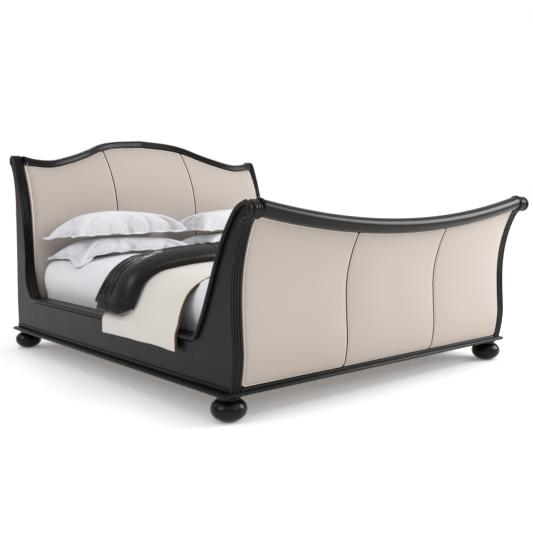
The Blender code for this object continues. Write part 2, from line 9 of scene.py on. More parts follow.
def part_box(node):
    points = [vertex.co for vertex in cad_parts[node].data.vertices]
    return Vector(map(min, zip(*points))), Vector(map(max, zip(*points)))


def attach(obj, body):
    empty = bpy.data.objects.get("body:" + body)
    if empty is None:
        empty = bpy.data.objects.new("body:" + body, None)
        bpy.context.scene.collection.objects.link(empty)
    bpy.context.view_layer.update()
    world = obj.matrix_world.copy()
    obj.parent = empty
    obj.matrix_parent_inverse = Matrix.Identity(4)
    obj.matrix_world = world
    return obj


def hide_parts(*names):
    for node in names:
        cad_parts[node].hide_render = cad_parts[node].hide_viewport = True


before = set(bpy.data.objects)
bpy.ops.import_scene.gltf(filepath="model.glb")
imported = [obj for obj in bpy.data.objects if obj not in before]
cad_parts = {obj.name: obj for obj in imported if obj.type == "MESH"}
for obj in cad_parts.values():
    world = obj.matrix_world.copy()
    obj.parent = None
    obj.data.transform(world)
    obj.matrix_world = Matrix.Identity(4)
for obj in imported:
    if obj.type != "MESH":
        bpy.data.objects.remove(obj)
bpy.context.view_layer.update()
scene = bpy.context.scene
scene.view_settings.view_transform = "Standard"

# Every shape below is worked out from the middle of the plinth and moved by this much at the end
plinthLow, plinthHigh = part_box("plinth_left")
middle = (plinthLow.y + plinthHigh.y) / 2
gap = 0.0003

# What the pieces share, in metres
bed = {
    "railEnd": 0.890, "railTop": 0.348, "railInner": 0.915, "postInner": 0.934, "postOuter": 1.010,
    "fieldFace": 0.991, "floorOfPosts": 0.1358, "plinthTop": 0.1355, "plinthBottom": 0.116,
    "seam": 0.325, "footScroll": (-1.302, 0.9175), "headScroll": (1.181, 1.221),
    "footFace": -1.174, "headFace": 1.0,
}


# ---- shaders
class Value:
    # A socket inside a finish; its operators add Math nodes
    def __init__(self, finish, socket):
        self.finish = finish
        self.socket = socket

    def math(self, operation, other):
        return self.finish.node("ShaderNodeMath", {"operation": operation}, {0: self, 1: other})

    def __add__(self, other):
        return self.math("ADD", other)

    def __mul__(self, other):
        return self.math("MULTIPLY", other)

    __radd__ = __add__
    __rmul__ = __mul__


class Finish:
    # One material: a Principled shader, and a method that adds any other node
    def __init__(self, name, **fixed):
        self.material = bpy.data.materials.new(name)
        self.material.use_nodes = True
        self.tree = self.material.node_tree
        self.shader = self.tree.nodes["Principled BSDF"]
        for socket, value in fixed.items():
            self.shader.inputs[socket.replace("_", " ")].default_value = value

    def node(self, kind, settings=None, inputs=None, output=0):
        made = self.tree.nodes.new(kind)
        for key, value in (settings or {}).items():
            if key == "stops":
                ramp = made.color_ramp
                while len(ramp.elements) < len(value):
                    ramp.elements.new(0.5)
                for element, (position, colour) in zip(ramp.elements, value):
                    element.position = position
                    element.color = (*colour, 1.0)
            else:
                setattr(made, key, value)
        for key, value in (inputs or {}).items():
            if isinstance(value, Value):
                self.tree.links.new(value.socket, made.inputs[key])
            else:
                made.inputs[key].default_value = value
        return Value(self, made.outputs[output])

    def place(self, scale=(1.0, 1.0, 1.0), turn=(0.0, 0.0, 0.0)):
        where = self.node("ShaderNodeTexCoord", output=3)
        return self.node("ShaderNodeMapping", None, {0: where, 2: turn, 3: scale})

    def cloth(self, scale=(1.0, 1.0, 1.0)):
        where = self.node("ShaderNodeTexCoord", output=2)
        return self.node("ShaderNodeMapping", None, {0: where, 3: scale})

    def noise(self, where, scale, detail=3.0, rough=0.5):
        return self.node("ShaderNodeTexNoise", None,
                         {"Vector": where, "Scale": scale, "Detail": detail, "Roughness": rough})

    def patches(self, scale, detail, rough=0.5, turn=(0.0, 0.0, 0.0)):
        # Noise in the piece's own axes, with its features per metre along each
        return self.noise(self.place(scale, turn), 1.0, detail, rough)

    def mix(self, factor, first, second):
        # Colour mix, first at factor 0 and second at factor 1
        return self.node("ShaderNodeMix", {"data_type": "RGBA"}, {0: factor, 6: first, 7: second}, 2)

    def feed(self, socket, value):
        self.tree.links.new(value.socket, self.shader.inputs[socket])

    def bump(self, *layers):
        # Stacks bumps: each layer is (height, distance in metres, strength)
        normal = None
        for height, distance, strength in layers:
            inputs = {"Height": height, "Distance": distance, "Strength": strength}
            if normal is not None:
                inputs["Normal"] = normal
            normal = self.node("ShaderNodeBump", None, inputs)
        self.feed("Normal", normal)


def colour(red, green, blue):
    return (red, green, blue, 1.0)


def lacquerFinish(name, grain, roughness):
    # Satin black over wood: the grain is noise drawn out along one axis, and it shows only faintly
    finish = Finish(name, Coat_Weight=0.05, Coat_Roughness=0.14, Specular_IOR_Level=0.17)
    strands = finish.patches(grain, 5.0, 0.62)
    cloud = finish.patches((5.0, 5.0, 5.0), 2.0)
    pores = finish.patches(tuple(4.0 * g for g in grain), 2.0)
    finish.feed("Base Color", finish.mix(strands * 0.6 + cloud * 0.4, colour(0.0018, 0.0018, 0.002),
                                         colour(0.0072, 0.0078, 0.0072)))
    finish.feed("Roughness", strands * 0.10 + cloud * 0.10 + (roughness - 0.10))
    finish.bump((cloud, 0.0010, 0.25), (strands, 0.00025, 0.30), (pores, 0.00008, 0.30))
    return finish.material


def upholsteryFinish():
    # Fine plain weave with slubs that run across the bed; a per-point value of painted shade browns the
    # pads' edges, bottoms and tops
    finish = Finish("creamUpholstery", Sheen_Weight=0.25, Sheen_Roughness=0.45, Specular_IOR_Level=0.3)
    slubs = finish.patches((6.0, 6.0, 260.0), 4.0, 0.6)
    drift = finish.patches((1.6, 1.6, 2.4), 2.0)
    threads = finish.patches((900.0, 900.0, 900.0), 1.0)
    creases = finish.patches((1.4, 1.4, 9.0), 2.0, 0.4)
    rim = finish.node("ShaderNodeAttribute", {"attribute_name": "rim"}, None, 2)
    base = finish.mix(drift * 0.7 + slubs * 0.3, colour(0.440, 0.383, 0.343), colour(0.510, 0.452, 0.412))
    # Painted shade: the base is mixed towards a dark brown as far as each point's painted-shade value says
    finish.feed("Base Color", finish.mix(rim, base, colour(0.345, 0.268, 0.210)))
    finish.feed("Roughness", slubs * 0.14 + 0.58)
    finish.bump((creases, 0.0035, 0.22), (slubs, 0.0003, 0.35), (threads, 0.0002, 0.35))
    return finish.material


def cordFinish(name, dark, light, roughness):
    # Twisted cord: a wave that runs slantwise round the cord's own UV
    finish = Finish(name, Specular_IOR_Level=0.35)
    where = finish.cloth((1.0, 1.0, 1.0))
    twist = finish.node("ShaderNodeTexWave", {"bands_direction": "DIAGONAL"},
                        {"Vector": where, "Scale": 120.0, "Distortion": 0.4})
    fuzz = finish.noise(where, 500.0, 2.0)
    finish.feed("Base Color", finish.mix(twist * 0.7 + fuzz * 0.3, dark, light))
    finish.feed("Roughness", fuzz * 0.15 + (roughness - 0.07))
    finish.bump((twist, 0.0004, 0.5), (fuzz, 0.0002, 0.3))
    return finish.material


def cottonFinish(name, shade, light, wrinkle):
    # Woven cotton: crossed threads in the piece's own UV, and soft crumples in the cloth
    finish = Finish(name, Sheen_Weight=0.15, Sheen_Roughness=0.5, Specular_IOR_Level=0.25)
    warp = finish.node("ShaderNodeTexWave", {"bands_direction": "X"},
                       {"Vector": finish.cloth(), "Scale": 420.0, "Distortion": 0.5})
    weft = finish.node("ShaderNodeTexWave", {"bands_direction": "Y"},
                       {"Vector": finish.cloth(), "Scale": 420.0, "Distortion": 0.5})
    crumple = finish.patches((5.0, 5.0, 7.0), 4.0, 0.45)
    fine = finish.patches((38.0, 38.0, 38.0), 3.0)
    finish.feed("Base Color", finish.mix(crumple * 0.75 + fine * 0.25, shade, light))
    finish.feed("Roughness", fine * 0.15 + 0.74)
    finish.bump((crumple, wrinkle, 0.35), (fine, 0.0006, 0.25), (warp * weft, 0.00012, 0.3))
    return finish.material


def satinFinish():
    # Black quilted satin: tight little wrinkles over a low sheen
    finish = Finish("blackSatin", Specular_IOR_Level=0.26)
    crumple = finish.patches((9.0, 9.0, 14.0), 4.0, 0.55, (0.4, 0.0, 0.5))
    fine = finish.patches((60.0, 26.0, 60.0), 3.0)
    finish.feed("Base Color", finish.mix(crumple, colour(0.0015, 0.0015, 0.0018),
                                         colour(0.006, 0.006, 0.0065)))
    finish.feed("Roughness", crumple * 0.18 + 0.24)
    finish.bump((crumple, 0.0045, 0.35), (fine, 0.0008, 0.4))
    return finish.material


def timberFinish(name, grain):
    # Planed pine: rings drawn out along the board, and knots of darker wood
    finish = Finish(name, Coat_Weight=0.05)
    rings = finish.patches(grain, 4.0, 0.6)
    broad = finish.patches(tuple(0.25 * g for g in grain), 2.0)
    finish.feed("Base Color", finish.mix(rings * 0.6 + broad * 0.4, colour(0.38, 0.23, 0.115),
                                         colour(0.64, 0.46, 0.28)))
    finish.feed("Roughness", rings * 0.2 + 0.45)
    finish.bump((rings, 0.0004, 0.4))
    return finish.material


def floorFinish():
    # Pale painted floor with the faintest mottling
    finish = Finish("paleFloor", Specular_IOR_Level=0.2, Emission_Color=(1.0, 1.0, 1.0, 1.0),
                    Emission_Strength=0.16)
    mottle = finish.patches((1.5, 1.5, 1.5), 3.0)
    finish.feed("Base Color", finish.mix(mottle, colour(0.88, 0.88, 0.88), colour(0.92, 0.92, 0.92)))
    finish.feed("Roughness", mottle * 0.1 + 0.75)
    return finish.material


looks = {
    "upright": lacquerFinish("blackLacquerUpright", (46.0, 46.0, 3.0), 0.40),
    "along": lacquerFinish("blackLacquerAlong", (46.0, 3.0, 46.0), 0.38),
    "moulded": lacquerFinish("blackLacquerMoulded", (30.0, 30.0, 5.0), 0.24),
    "across": lacquerFinish("blackLacquerAcross", (3.0, 46.0, 46.0), 0.29),
    "turned": lacquerFinish("blackLacquerTurned", (9.0, 9.0, 26.0), 0.25),
    "cream": upholsteryFinish(),
    "welt": cordFinish("creamWelt", colour(0.72, 0.65, 0.58), colour(0.88, 0.83, 0.77), 0.6),
    "brown": cordFinish("brownPiping", colour(0.030, 0.014, 0.007), colour(0.085, 0.043, 0.024), 0.5),
    "tan": cordFinish("tanEdging", colour(0.16, 0.085, 0.045), colour(0.30, 0.18, 0.10), 0.6),
    "white": cottonFinish("whiteCotton", colour(0.62, 0.62, 0.65), colour(0.70, 0.70, 0.725), 0.0050),
    "throw": cottonFinish("creamWeave", colour(0.595, 0.56, 0.515), colour(0.665, 0.63, 0.585), 0.0030),
    "satin": satinFinish(),
    "timber": timberFinish("pineAlong", (30.0, 2.0, 30.0)),
    "timberAcross": timberFinish("pineAcross", (2.0, 30.0, 30.0)),
    "floor": floorFinish(),
}
print("finishes made:", len(looks))


# ---- curves
def smoothCurve(points, count):
    # Cubic through each run of four neighbouring points, then read again at even steps of its length
    known = np.array(points, float)
    known = np.vstack([2 * known[0] - known[1], known, 2 * known[-1] - known[-2]])
    t = np.linspace(0.0, 1.0, 24, endpoint=False)[None, :, None]
    a, b, c, d = (known[i:len(known) - 3 + i][:, None, :] for i in range(4))
    fine = 0.5 * (2 * b + (c - a) * t + (2 * a - 5 * b + 4 * c - d) * t ** 2
                  + (3 * b - a - 3 * c + d) * t ** 3)
    fine = np.vstack([fine.reshape(-1, known.shape[1]), known[-2:-1]])
    run = np.concatenate([[0.0], np.cumsum(np.linalg.norm(np.diff(fine, axis=0), axis=1))])
    even = np.linspace(0.0, run[-1], count)
    return np.stack([np.interp(even, run, fine[:, k]) for k in range(known.shape[1])], axis=1)


def arc(centre, radius, start, end, count):
    # Points of a circle's arc between two angles in degrees
    angle = np.radians(np.linspace(start, end, count))
    return np.stack([centre[0] + radius * np.cos(angle), centre[1] + radius * np.sin(angle)], axis=1)


def rightOf(path):
    # Unit normal on the right-hand side of a flat path
    run = np.gradient(path, axis=0)
    run /= np.linalg.norm(run, axis=1, keepdims=True)
    return np.stack([run[:, 1], -run[:, 0]], axis=1)


def step(x):
    # Soft step: 0 below 0, 1 above 1, and 3x^2 - 2x^3 between
    x = np.clip(x, 0.0, 1.0)
    return x * x * (3.0 - 2.0 * x)


# ---- meshes
def shell(points, wrap=False, capped=False, loop=False):
    # Faces of a grid of points (rows, columns, 3), wrapped round its columns or its rows if asked
    rows, columns = points.shape[:2]
    index = np.arange(rows * columns).reshape(rows, columns)
    if wrap:
        index = np.hstack([index, index[:, :1]])
    if loop:
        index = np.vstack([index, index[:1]])
    quads = np.stack([index[:-1, :-1], index[:-1, 1:], index[1:, 1:], index[1:, :-1]], axis=-1)
    across = np.linalg.norm(np.diff(points[:, :], axis=1), axis=2).mean(axis=0)
    down = np.linalg.norm(np.diff(points, axis=0), axis=2).mean(axis=1)
    u = np.concatenate([[0.0], np.cumsum(across)])
    v = np.concatenate([[0.0], np.cumsum(down)])
    u = np.append(u, u[-1] + across.mean()) if wrap else u
    v = np.append(v, v[-1] + down.mean()) if loop else v
    mapU, mapV = np.meshgrid(u, v)
    flat = np.stack([mapU, mapV], axis=-1)
    maps = np.stack([flat[:-1, :-1], flat[:-1, 1:], flat[1:, 1:], flat[1:, :-1]], axis=2)
    faces = quads.reshape(-1, 4).tolist()
    maps = maps.reshape(-1, 2)
    if capped:
        for ring in (index[0], index[-1]):
            ring = ring[:-1] if wrap else ring
            faces.append(ring.tolist())
            place = points.reshape(-1, 3)[ring]
            spread = place.max(axis=0) - place.min(axis=0)
            keep = np.sort(np.argsort(spread)[1:])
            maps = np.vstack([maps, place[:, keep]])
    return points.reshape(-1, 3), faces, maps


def build(name, shells, look, body, nodes=(), angle=40.0, rim=None):
    # One piece from its shells, standing where it belongs, with its object at the origin
    points, faces, maps, start = [], [], [], 0
    for part, partFaces, partMaps in shells:
        points.append(part)
        faces += [[i + start for i in face] for face in partFaces]
        maps.append(partMaps)
        start += len(part)
    points = np.vstack(points) + np.array([0.0, middle, 0.0])
    data = bpy.data.meshes.new(name)
    data.from_pydata(points.tolist(), [], faces)
    layer = data.uv_layers.new(name="UVMap")
    layer.data.foreach_set("uv", np.vstack(maps).astype(np.float32).ravel())
    # An optional per-point value of painted shade, which the upholstery's colour is browned by
    if rim is not None:
        attribute = data.attributes.new("rim", "FLOAT", "POINT")
        attribute.data.foreach_set("value", np.asarray(rim, np.float32).ravel())
    work = bmesh.new()
    work.from_mesh(data)
    bmesh.ops.recalc_face_normals(work, faces=work.faces)
    work.to_mesh(data)
    work.free()
    data.shade_smooth()
    data.set_sharp_from_angle(angle=math.radians(angle))
    data.materials.append(looks[look])
    piece = bpy.data.objects.new(name, data)
    scene.collection.objects.link(piece)
    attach(piece, body)
    if nodes:
        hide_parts(*nodes)
    return piece


def black(name, shells, look, node, angle=40.0):
    # A lacquered piece of the frame, in place of one CAD node
    build(name, shells, look, "bed_frame", [node], angle)


def sideways(side, x, path):
    # Points with their X given and their (y, z) read from a path
    points = np.zeros((len(path), 3))
    points[:, 0] = side * x
    points[:, 1:] = path
    return points


def plate(side, outline, near, far):
    # A flat board cut to an outline in the side view, between two X planes
    return shell(np.stack([sideways(side, near, outline), sideways(side, far, outline)]), True, True)


def carried(path, profile, side=1):
    # A profile of (x, height) carried along a side-view path: height runs along the path's normal
    normal = rightOf(path)
    section = np.broadcast_to(profile, (len(path),) + profile.shape[-2:])
    points = np.empty(section.shape[:2] + (3,))
    points[..., 0] = side * section[..., 0]
    points[..., 1] = path[:, None, 0] + normal[:, None, 0] * section[..., 1]
    points[..., 2] = path[:, None, 1] + normal[:, None, 1] * section[..., 1]
    return points


def tube(path, radius, sides=10, loop=False):
    # A round cord along a path in space: circles in the plane of two normals to the path
    run = np.gradient(path, axis=0)
    if loop:
        run = np.roll(path, -1, axis=0) - np.roll(path, 1, axis=0)
    run /= np.linalg.norm(run, axis=1, keepdims=True)
    flat = np.abs(run[:, 0]) < 0.9
    guide = np.where(flat[:, None], np.array([1.0, 0.0, 0.0]), np.array([0.0, 0.0, 1.0]))
    if loop:
        guide = np.broadcast_to(np.array([0.0, 1.0, 0.15]), run.shape)
    first = np.cross(run, guide)
    first /= np.linalg.norm(first, axis=1, keepdims=True)
    second = np.cross(run, first)
    angle = np.linspace(0.0, 2 * math.pi, sides, endpoint=False)
    points = (path[:, None] + radius * np.cos(angle)[None, :, None] * first[:, None]
              + radius * np.sin(angle)[None, :, None] * second[:, None])
    return shell(points, True, not loop, loop)


sides = (("left", -1), ("right", 1))
ends = (("foot_end", -1), ("head_end", 1))

# ---- feet, plinth and rails
feet = {"radius": 0.0815, "middle": 0.0525, "halfHeight": 0.0565, "base": 0.036, "neck": 0.050,
        "top": 0.1157, "inset": 0.077}
plinth = {"halfWidth": 1.030, "halfLength": 1.186, "width": 0.125, "nose": 0.0088, "corner": 0.016}
rail = {"bandTop": 0.1555, "bandFace": 0.999, "faceTop": 0.3175, "capBottom": 0.3185, "bead": 0.0105}


def bunFoot(name, x, y):
    # Radius at a height: an ellipse's half width, then a hollow neck and a thin collar under the plinth
    angle = np.linspace(math.asin((0.0045 - feet["middle"]) / feet["halfHeight"]),
                        math.asin((0.098 - feet["middle"]) / feet["halfHeight"]), 34)
    ball = np.stack([feet["radius"] * np.cos(angle),
                     feet["middle"] + feet["halfHeight"] * np.sin(angle)], axis=1)
    base = [(feet["base"] - 0.004, 0.0), (feet["base"], 0.0012), (feet["base"] + 0.002, 0.0036)]
    neck = [(feet["neck"] - 0.002, 0.1015), (feet["neck"] - 0.002, 0.1045), (feet["neck"] + 0.006, 0.1065),
            (feet["neck"] + 0.008, 0.110), (feet["neck"] + 0.006, 0.1135), (feet["neck"], feet["top"])]
    profile = np.vstack([base, ball[ball[:, 0] > feet["base"] + 0.003], neck])
    turn = np.linspace(0.0, 2 * math.pi, 72, endpoint=False)
    points = np.empty((len(profile), len(turn), 3))
    points[..., 0] = x + profile[:, :1] * np.cos(turn)
    points[..., 1] = y + profile[:, :1] * np.sin(turn)
    points[..., 2] = profile[:, 1:]
    black(name + "_turned", [shell(points, True, True)], "turned", name)


def plinthPiece(name, alongX, side):
    # A bullnose profile carried along one side; each end turns half of a rounded corner, to the mitre
    low, high = bed["plinthBottom"], bed["plinthTop"]
    nose = plinth["nose"]
    centre = (low + high) / 2 - 0.0005
    profile = np.vstack([[(-plinth["width"], low)], [(-0.020, low)],
                         arc((-nose, centre), nose, -90, 90, 13), [(-nose - 0.0035, centre + nose)],
                         [(-nose - 0.0045, high)], [(-plinth["width"], high)]])
    alongHalf, acrossHalf = plinth["halfWidth"], plinth["halfLength"]
    if not alongX:
        alongHalf, acrossHalf = acrossHalf, alongHalf
    out = profile[:, :1]
    radius = np.maximum(plinth["corner"] + out, 0.0005)
    bend = np.radians(np.linspace(135, 90, 9))[None]
    near = -(alongHalf + out) + radius + radius * np.cos(bend) + gap
    far = (alongHalf + out) - radius + radius * np.cos(math.pi - bend[:, ::-1]) - gap
    rise = acrossHalf + out - radius + radius * np.sin(bend)
    along = np.hstack([near, far])
    across = side * np.hstack([rise, rise[:, ::-1]])
    height = np.broadcast_to(profile[:, 1:], along.shape)
    points = np.stack([along, across, height] if alongX else [across, along, height], axis=-1)
    points = points.transpose(1, 0, 2)
    black(name + "_moulded", [shell(points, True, True)], "across" if alongX else "along", name)


def straightBar(name, outline, side, node):
    # An outline of (x, z) points drawn out along the bed
    rows = np.linspace(-bed["railEnd"] + gap, bed["railEnd"] - gap, 9)
    points = np.empty((len(rows), len(outline), 3))
    points[..., 0] = side * outline[:, 0]
    points[..., 1] = rows[:, None]
    points[..., 2] = outline[:, 1]
    black(name, [shell(points, True, True)], "along", node, 50.0)


def makeBase():
    for endName, end in ends:
        for sideName, side in sides:
            bunFoot(f"bun_foot_{endName}_{sideName}", side * (plinth["halfWidth"] - feet["inset"]),
                    end * (plinth["halfLength"] - feet["inset"]))
        plinthPiece(f"plinth_{endName}", True, end)
    for sideName, side in sides:
        plinthPiece(f"plinth_{sideName}", False, side)
    foot, inner, face = bed["floorOfPosts"], bed["railInner"], bed["fieldFace"]
    band = np.array([(inner, foot), (rail["bandFace"] - 0.001, foot), (rail["bandFace"], foot + 0.002),
                     (rail["bandFace"], rail["bandTop"] - 0.0015),
                     (rail["bandFace"] - 0.0015, rail["bandTop"]),
                     (face + 0.0005, rail["bandTop"] + 0.0008), (face, rail["bandTop"] + 0.003),
                     (face, rail["faceTop"]), (inner, rail["faceTop"])])
    bead = rail["bead"]
    centre = (bed["postOuter"] - bead, bed["railTop"] - bead)
    cap = np.vstack([[(inner, rail["capBottom"])], [(face - 0.004, rail["capBottom"])],
                     [(face - 0.001, bed["railTop"] - 2 * bead)],
                     arc(centre, bead, -90, 105, 16), [(face - 0.012, bed["railTop"] - 0.0022)],
                     [(inner + 0.016, bed["railTop"] - 0.0022)], [(inner + 0.012, bed["railTop"] - 0.0006)],
                     arc((inner + 0.006, bed["railTop"] - 0.006), 0.006, 90, 180, 6)])
    for sideName, side in sides:
        straightBar(f"side_rail_{sideName}_panel", band, side, f"side_rail_{sideName}")
        straightBar(f"rail_cap_{sideName}_bead", cap, side, f"rail_cap_{sideName}")


# ---- posts
post = {"reedBounds": (0.9365, 0.9505, 0.9650, 0.9795), "reedDepth": 0.0072, "frontBead": 0.0078,
        "frontBeadX": 0.9875, "sweepBead": 0.0105, "thick": 0.012, "bandReach": 0.015,
        "waistHeight": 0.50, "waistDepth": 0.017, "neckReach": 0.097, "curve": 2.3, "lean": 0.240,
        "leanStart": 0.8036, "leanRun": 0.55}


def footFace(height, top):
    # Front of the footboard at a height: a swelling above the plinth, a waist, then a power curve outwards
    face = bed["footFace"]
    waist = face - post["waistDepth"]
    above = post["waistHeight"]
    low = smoothCurve([(bed["floorOfPosts"], face), (0.20, face - 0.015), (0.29, face - 0.026),
                       (0.40, face - 0.021), (above, waist)], 60)
    rise = np.maximum(height - above, 0.0) / (top - above)
    bent = waist - post["neckReach"] * rise ** post["curve"]
    return np.where(height <= above, np.interp(height, low[:, 0], low[:, 1]), bent)


def footPostPath():
    # The post's edge: sweep from the rail to the scroll, round the scroll, and down the front
    y, z = bed["footScroll"]
    joint, railTop = -bed["railEnd"], bed["railTop"]
    sweep = [(joint, railTop), (joint - 0.026, railTop + 0.008), (joint - 0.050, railTop + 0.041),
             (joint - 0.073, railTop + 0.082), (joint - 0.096, 0.474), (joint - 0.146, 0.583),
             (joint - 0.196, 0.696), (joint - 0.246, 0.795), (joint - 0.300, 0.876), (joint - 0.352, 0.933)]
    scroll = arc((y, z), 0.041, 88, 285, 14)
    heights = np.linspace(z - 0.062, bed["floorOfPosts"], 14)
    front = np.stack([footFace(heights, z - 0.030), heights], axis=1)
    return smoothCurve(np.vstack([sweep, scroll, front]), 230)


def reeds(bounds, depth, beadX, bead, inner, thick):
    # Closed profile of a moulding: three shallow reeds, a round bead at the outer corner, a flat back
    pieces = [[(inner, -thick), (inner, -0.006)]]
    for low, high in zip(bounds[:-1], bounds[1:]):
        half = (high - low) / 2
        angle = np.radians(np.linspace(172, 8, 9))
        pieces.append(np.stack([(low + high) / 2 + half * np.cos(angle),
                                -depth + depth * np.sin(angle)], axis=1))
    angle = np.radians(np.linspace(165, -90, 18))
    pieces.append(np.stack([beadX + bead * np.cos(angle), -bead + bead * np.sin(angle)], axis=1))
    pieces.append([(bed["fieldFace"] - 0.0015, -2 * bead), (bed["fieldFace"] - 0.006, -2 * bead),
                   (bed["fieldFace"] - 0.010, -thick)])
    return np.vstack(pieces)


def postMoulding(isSweep):
    # The corner bead stands proud along the sweep and sinks level with the field down the front
    proud = isSweep[:, None, None]
    bold = reeds(post["reedBounds"], 0.3 * post["reedDepth"], bed["postOuter"] - post["sweepBead"],
                 post["sweepBead"], bed["postInner"], post["thick"])
    calm = reeds(post["reedBounds"], post["reedDepth"], post["frontBeadX"], post["frontBead"],
                 bed["postInner"], post["thick"])
    return proud * bold[None] + (1.0 - proud) * calm[None]


def postBand(side, run, drawn):
    # The plinth-high band on a post's outer face, from Y to Y in run, drawn in towards the bed at each
    face, out, foot, top = bed["fieldFace"], rail["bandFace"], bed["floorOfPosts"], rail["bandTop"]
    hidden = bed["postInner"] + 0.02
    outline = np.array([(hidden, foot), (out - 0.001, foot), (out, foot + 0.002), (out, top - 0.0015),
                        (out - 0.0015, top), (face + 0.0005, top + 0.0008), (face - 0.002, top + 0.003),
                        (hidden, top)])
    points = np.empty((len(run), len(outline), 3))
    points[..., 0] = side * (outline[:, 0] - np.array(drawn)[:, None])
    points[..., 1] = np.array(run)[:, None]
    points[..., 2] = outline[:, 1]
    return shell(points, True, True)


def makeFootPosts():
    path = footPostPath()
    normal = rightOf(path)
    highest = int(np.argmax(path[:, 1]))
    along = np.arange(len(path), dtype=float)
    nose = int(np.argmin(path[:, 0]))
    isSweep = 1.0 - step((along - (nose + 2)) / 22.0)
    profile = postMoulding(isSweep)
    board = path - normal * (0.0085 + 0.0015 * isSweep)[:, None]
    keep = board[:, 1] > bed["floorOfPosts"]
    board = board[keep]
    outline = np.vstack([[(-bed["railEnd"] - gap, bed["floorOfPosts"])],
                         [(-bed["railEnd"] - gap, board[0, 1])], board[1:],
                         [(board[-1, 0], bed["floorOfPosts"])]])
    frontEdge = path[-1, 0] + post["bandReach"]
    for sideName, side in sides:
        band = postBand(side, (frontEdge, frontEdge + 0.0015, -bed["railEnd"] - gap), (0.004, 0.0, 0.0))
        black(f"footboard_post_{sideName}_board",
              [plate(side, outline, bed["postInner"] + 0.0015, bed["fieldFace"]), band],
              "upright", f"footboard_post_{sideName}", 35.0)
        sweep = carried(path[:highest + 1], profile[:highest + 1], side)
        front = carried(path[highest:], profile[highest:], side)
        front[-1, :, 2] = bed["floorOfPosts"]
        front[0, :, 1] -= gap
        black(f"footboard_sweep_bead_{sideName}", [shell(sweep, True, True)], "moulded",
              f"footboard_sweep_moulding_{sideName}")
        black(f"footboard_reeds_{sideName}", [shell(front, True, True)], "moulded",
              f"footboard_reeded_moulding_{sideName}")


def headPostPath():
    # The head post's front edge: from the rail's cap up its lean, and round the scroll to its back
    y, z = bed["headScroll"]
    joint, railTop = bed["railEnd"], bed["railTop"]
    sweep = [(joint, railTop), (joint + 0.026, railTop + 0.006), (joint + 0.050, railTop + 0.027),
             (joint + 0.080, 0.420), (joint + 0.102, 0.500), (joint + 0.117, 0.600), (joint + 0.128, 0.750),
             (joint + 0.139, 0.860), (joint + 0.160, 0.965), (joint + 0.187, 1.060), (joint + 0.217, 1.145),
             (joint + 0.238, z - 0.020)]
    return smoothCurve(np.vstack([sweep, arc((y, z), 0.038, 160, -55, 14)]), 200)


def makeHeadPosts():
    path = headPostPath()
    y, z = bed["headScroll"]
    back = smoothCurve([tuple(path[-1]), (y - 0.010, z - 0.075), (y - 0.032, z - 0.150), (y - 0.042, 0.970),
                        (y - 0.038, 0.850), (y - 0.030, 0.640), (y - 0.018, 0.420), (y - 0.012, 0.300),
                        (y - 0.016, bed["floorOfPosts"])], 70)
    path = path[::-1]
    normal = rightOf(path)
    along = np.arange(len(path), dtype=float)
    isSweep = step((along - (len(path) - 60)) / 40.0)
    profile = postMoulding(isSweep)
    board = (path - normal * 0.0095)[::-1]
    joint = bed["railEnd"] + gap
    outline = np.vstack([[(joint, bed["floorOfPosts"])], [(joint, board[0, 1])],
                         board[1:-6], back[3:-1], [(back[-1, 0], bed["floorOfPosts"])]])
    face = bed["fieldFace"]
    for sideName, side in sides:
        trim = 0.006
        bevelled = np.stack([sideways(side, x, outline) for x in
                             (bed["postInner"] + 0.0015, face - trim, face)])
        centre = outline.mean(axis=0)
        inward = rightOf(np.vstack([outline, outline[:1]]))[:-1]
        isBack = step((outline[:, 0] - centre[0]) / 0.03) * (outline[:, 1] < z + 0.01)
        bevelled[2, :, 1:] += inward * (trim * isBack)[:, None] * -1.0
        band = postBand(side, (joint, back[-1, 0] - 0.004), (0.0, 0.0))
        black(f"headboard_post_{sideName}_board", [shell(bevelled, True, True), band], "upright",
              f"headboard_post_{sideName}", 35.0)
        black(f"headboard_reeds_{sideName}", [shell(carried(path, profile, side), True, True)], "moulded",
              f"headboard_reeded_moulding_{sideName}")


# ---- upholstered boards
roll = {"radius": 0.0355, "dip": 0.100, "y": -1.305, "height": 0.9255, "collar": 0.0385,
        "collarWidth": 0.014}
footPad = {"bottom": 0.1518, "thick": 0.030, "crown": 0.011, "seamEdge": 0.013, "corner": 0.024,
           "bow": 0.016}
headPad = {"bottom": 0.308, "thick": 0.055, "edge": 0.058, "seamEdge": 0.012, "topEdge": 0.014}
footLayers = (0.0, 0.030, 0.052, 0.076)
footAngles = (-68, -48, -28, -8)
headLayers = (0.0, 0.055, 0.077, 0.092)
crest = {"section": 0.045, "depth": 0.070, "rise": 0.138}


def rollHeight(x):
    # Parabola that is level inside the collars
    across = np.minimum(np.abs(x) / (bed["postInner"] - roll["collarWidth"]), 1.0)
    return roll["height"] - roll["dip"] * (1.0 - across ** 2)


def footSurface(x, v, layer):
    # Footboard layer at x and at a share v of its height, as y and z: the front's S, drawn to the roll
    reach = roll["collar"] + 0.0009
    angle = math.radians(footAngles[layer])
    endY = roll["y"] + reach * math.cos(angle)
    endZ = rollHeight(x) + reach * math.sin(angle)
    z = footPad["bottom"] + (endZ - footPad["bottom"]) * v
    drift = endY - (footFace(endZ, endZ) + footLayers[layer])
    # The padding swells a little over the whole width
    across = 1.0 - (np.abs(x) / bed["postInner"]) ** 2.5
    bow = (footPad["bow"] * across * np.clip(v / 0.06, 0.0, 1.0) ** 0.5
           * np.clip((1 - v) / 0.2, 0.0, 1.0) ** 0.7)
    swell = bow if layer == 0 else 0.0
    return footFace(z, endZ) + footLayers[layer] + drift * v ** 3 - swell, z


def headFace(z):
    # Front of the headboard's pads: upright, then a power curve backwards
    rise = np.maximum(z - post["leanStart"], 0.0) / post["leanRun"]
    return bed["headFace"] + post["lean"] * rise ** post["curve"]


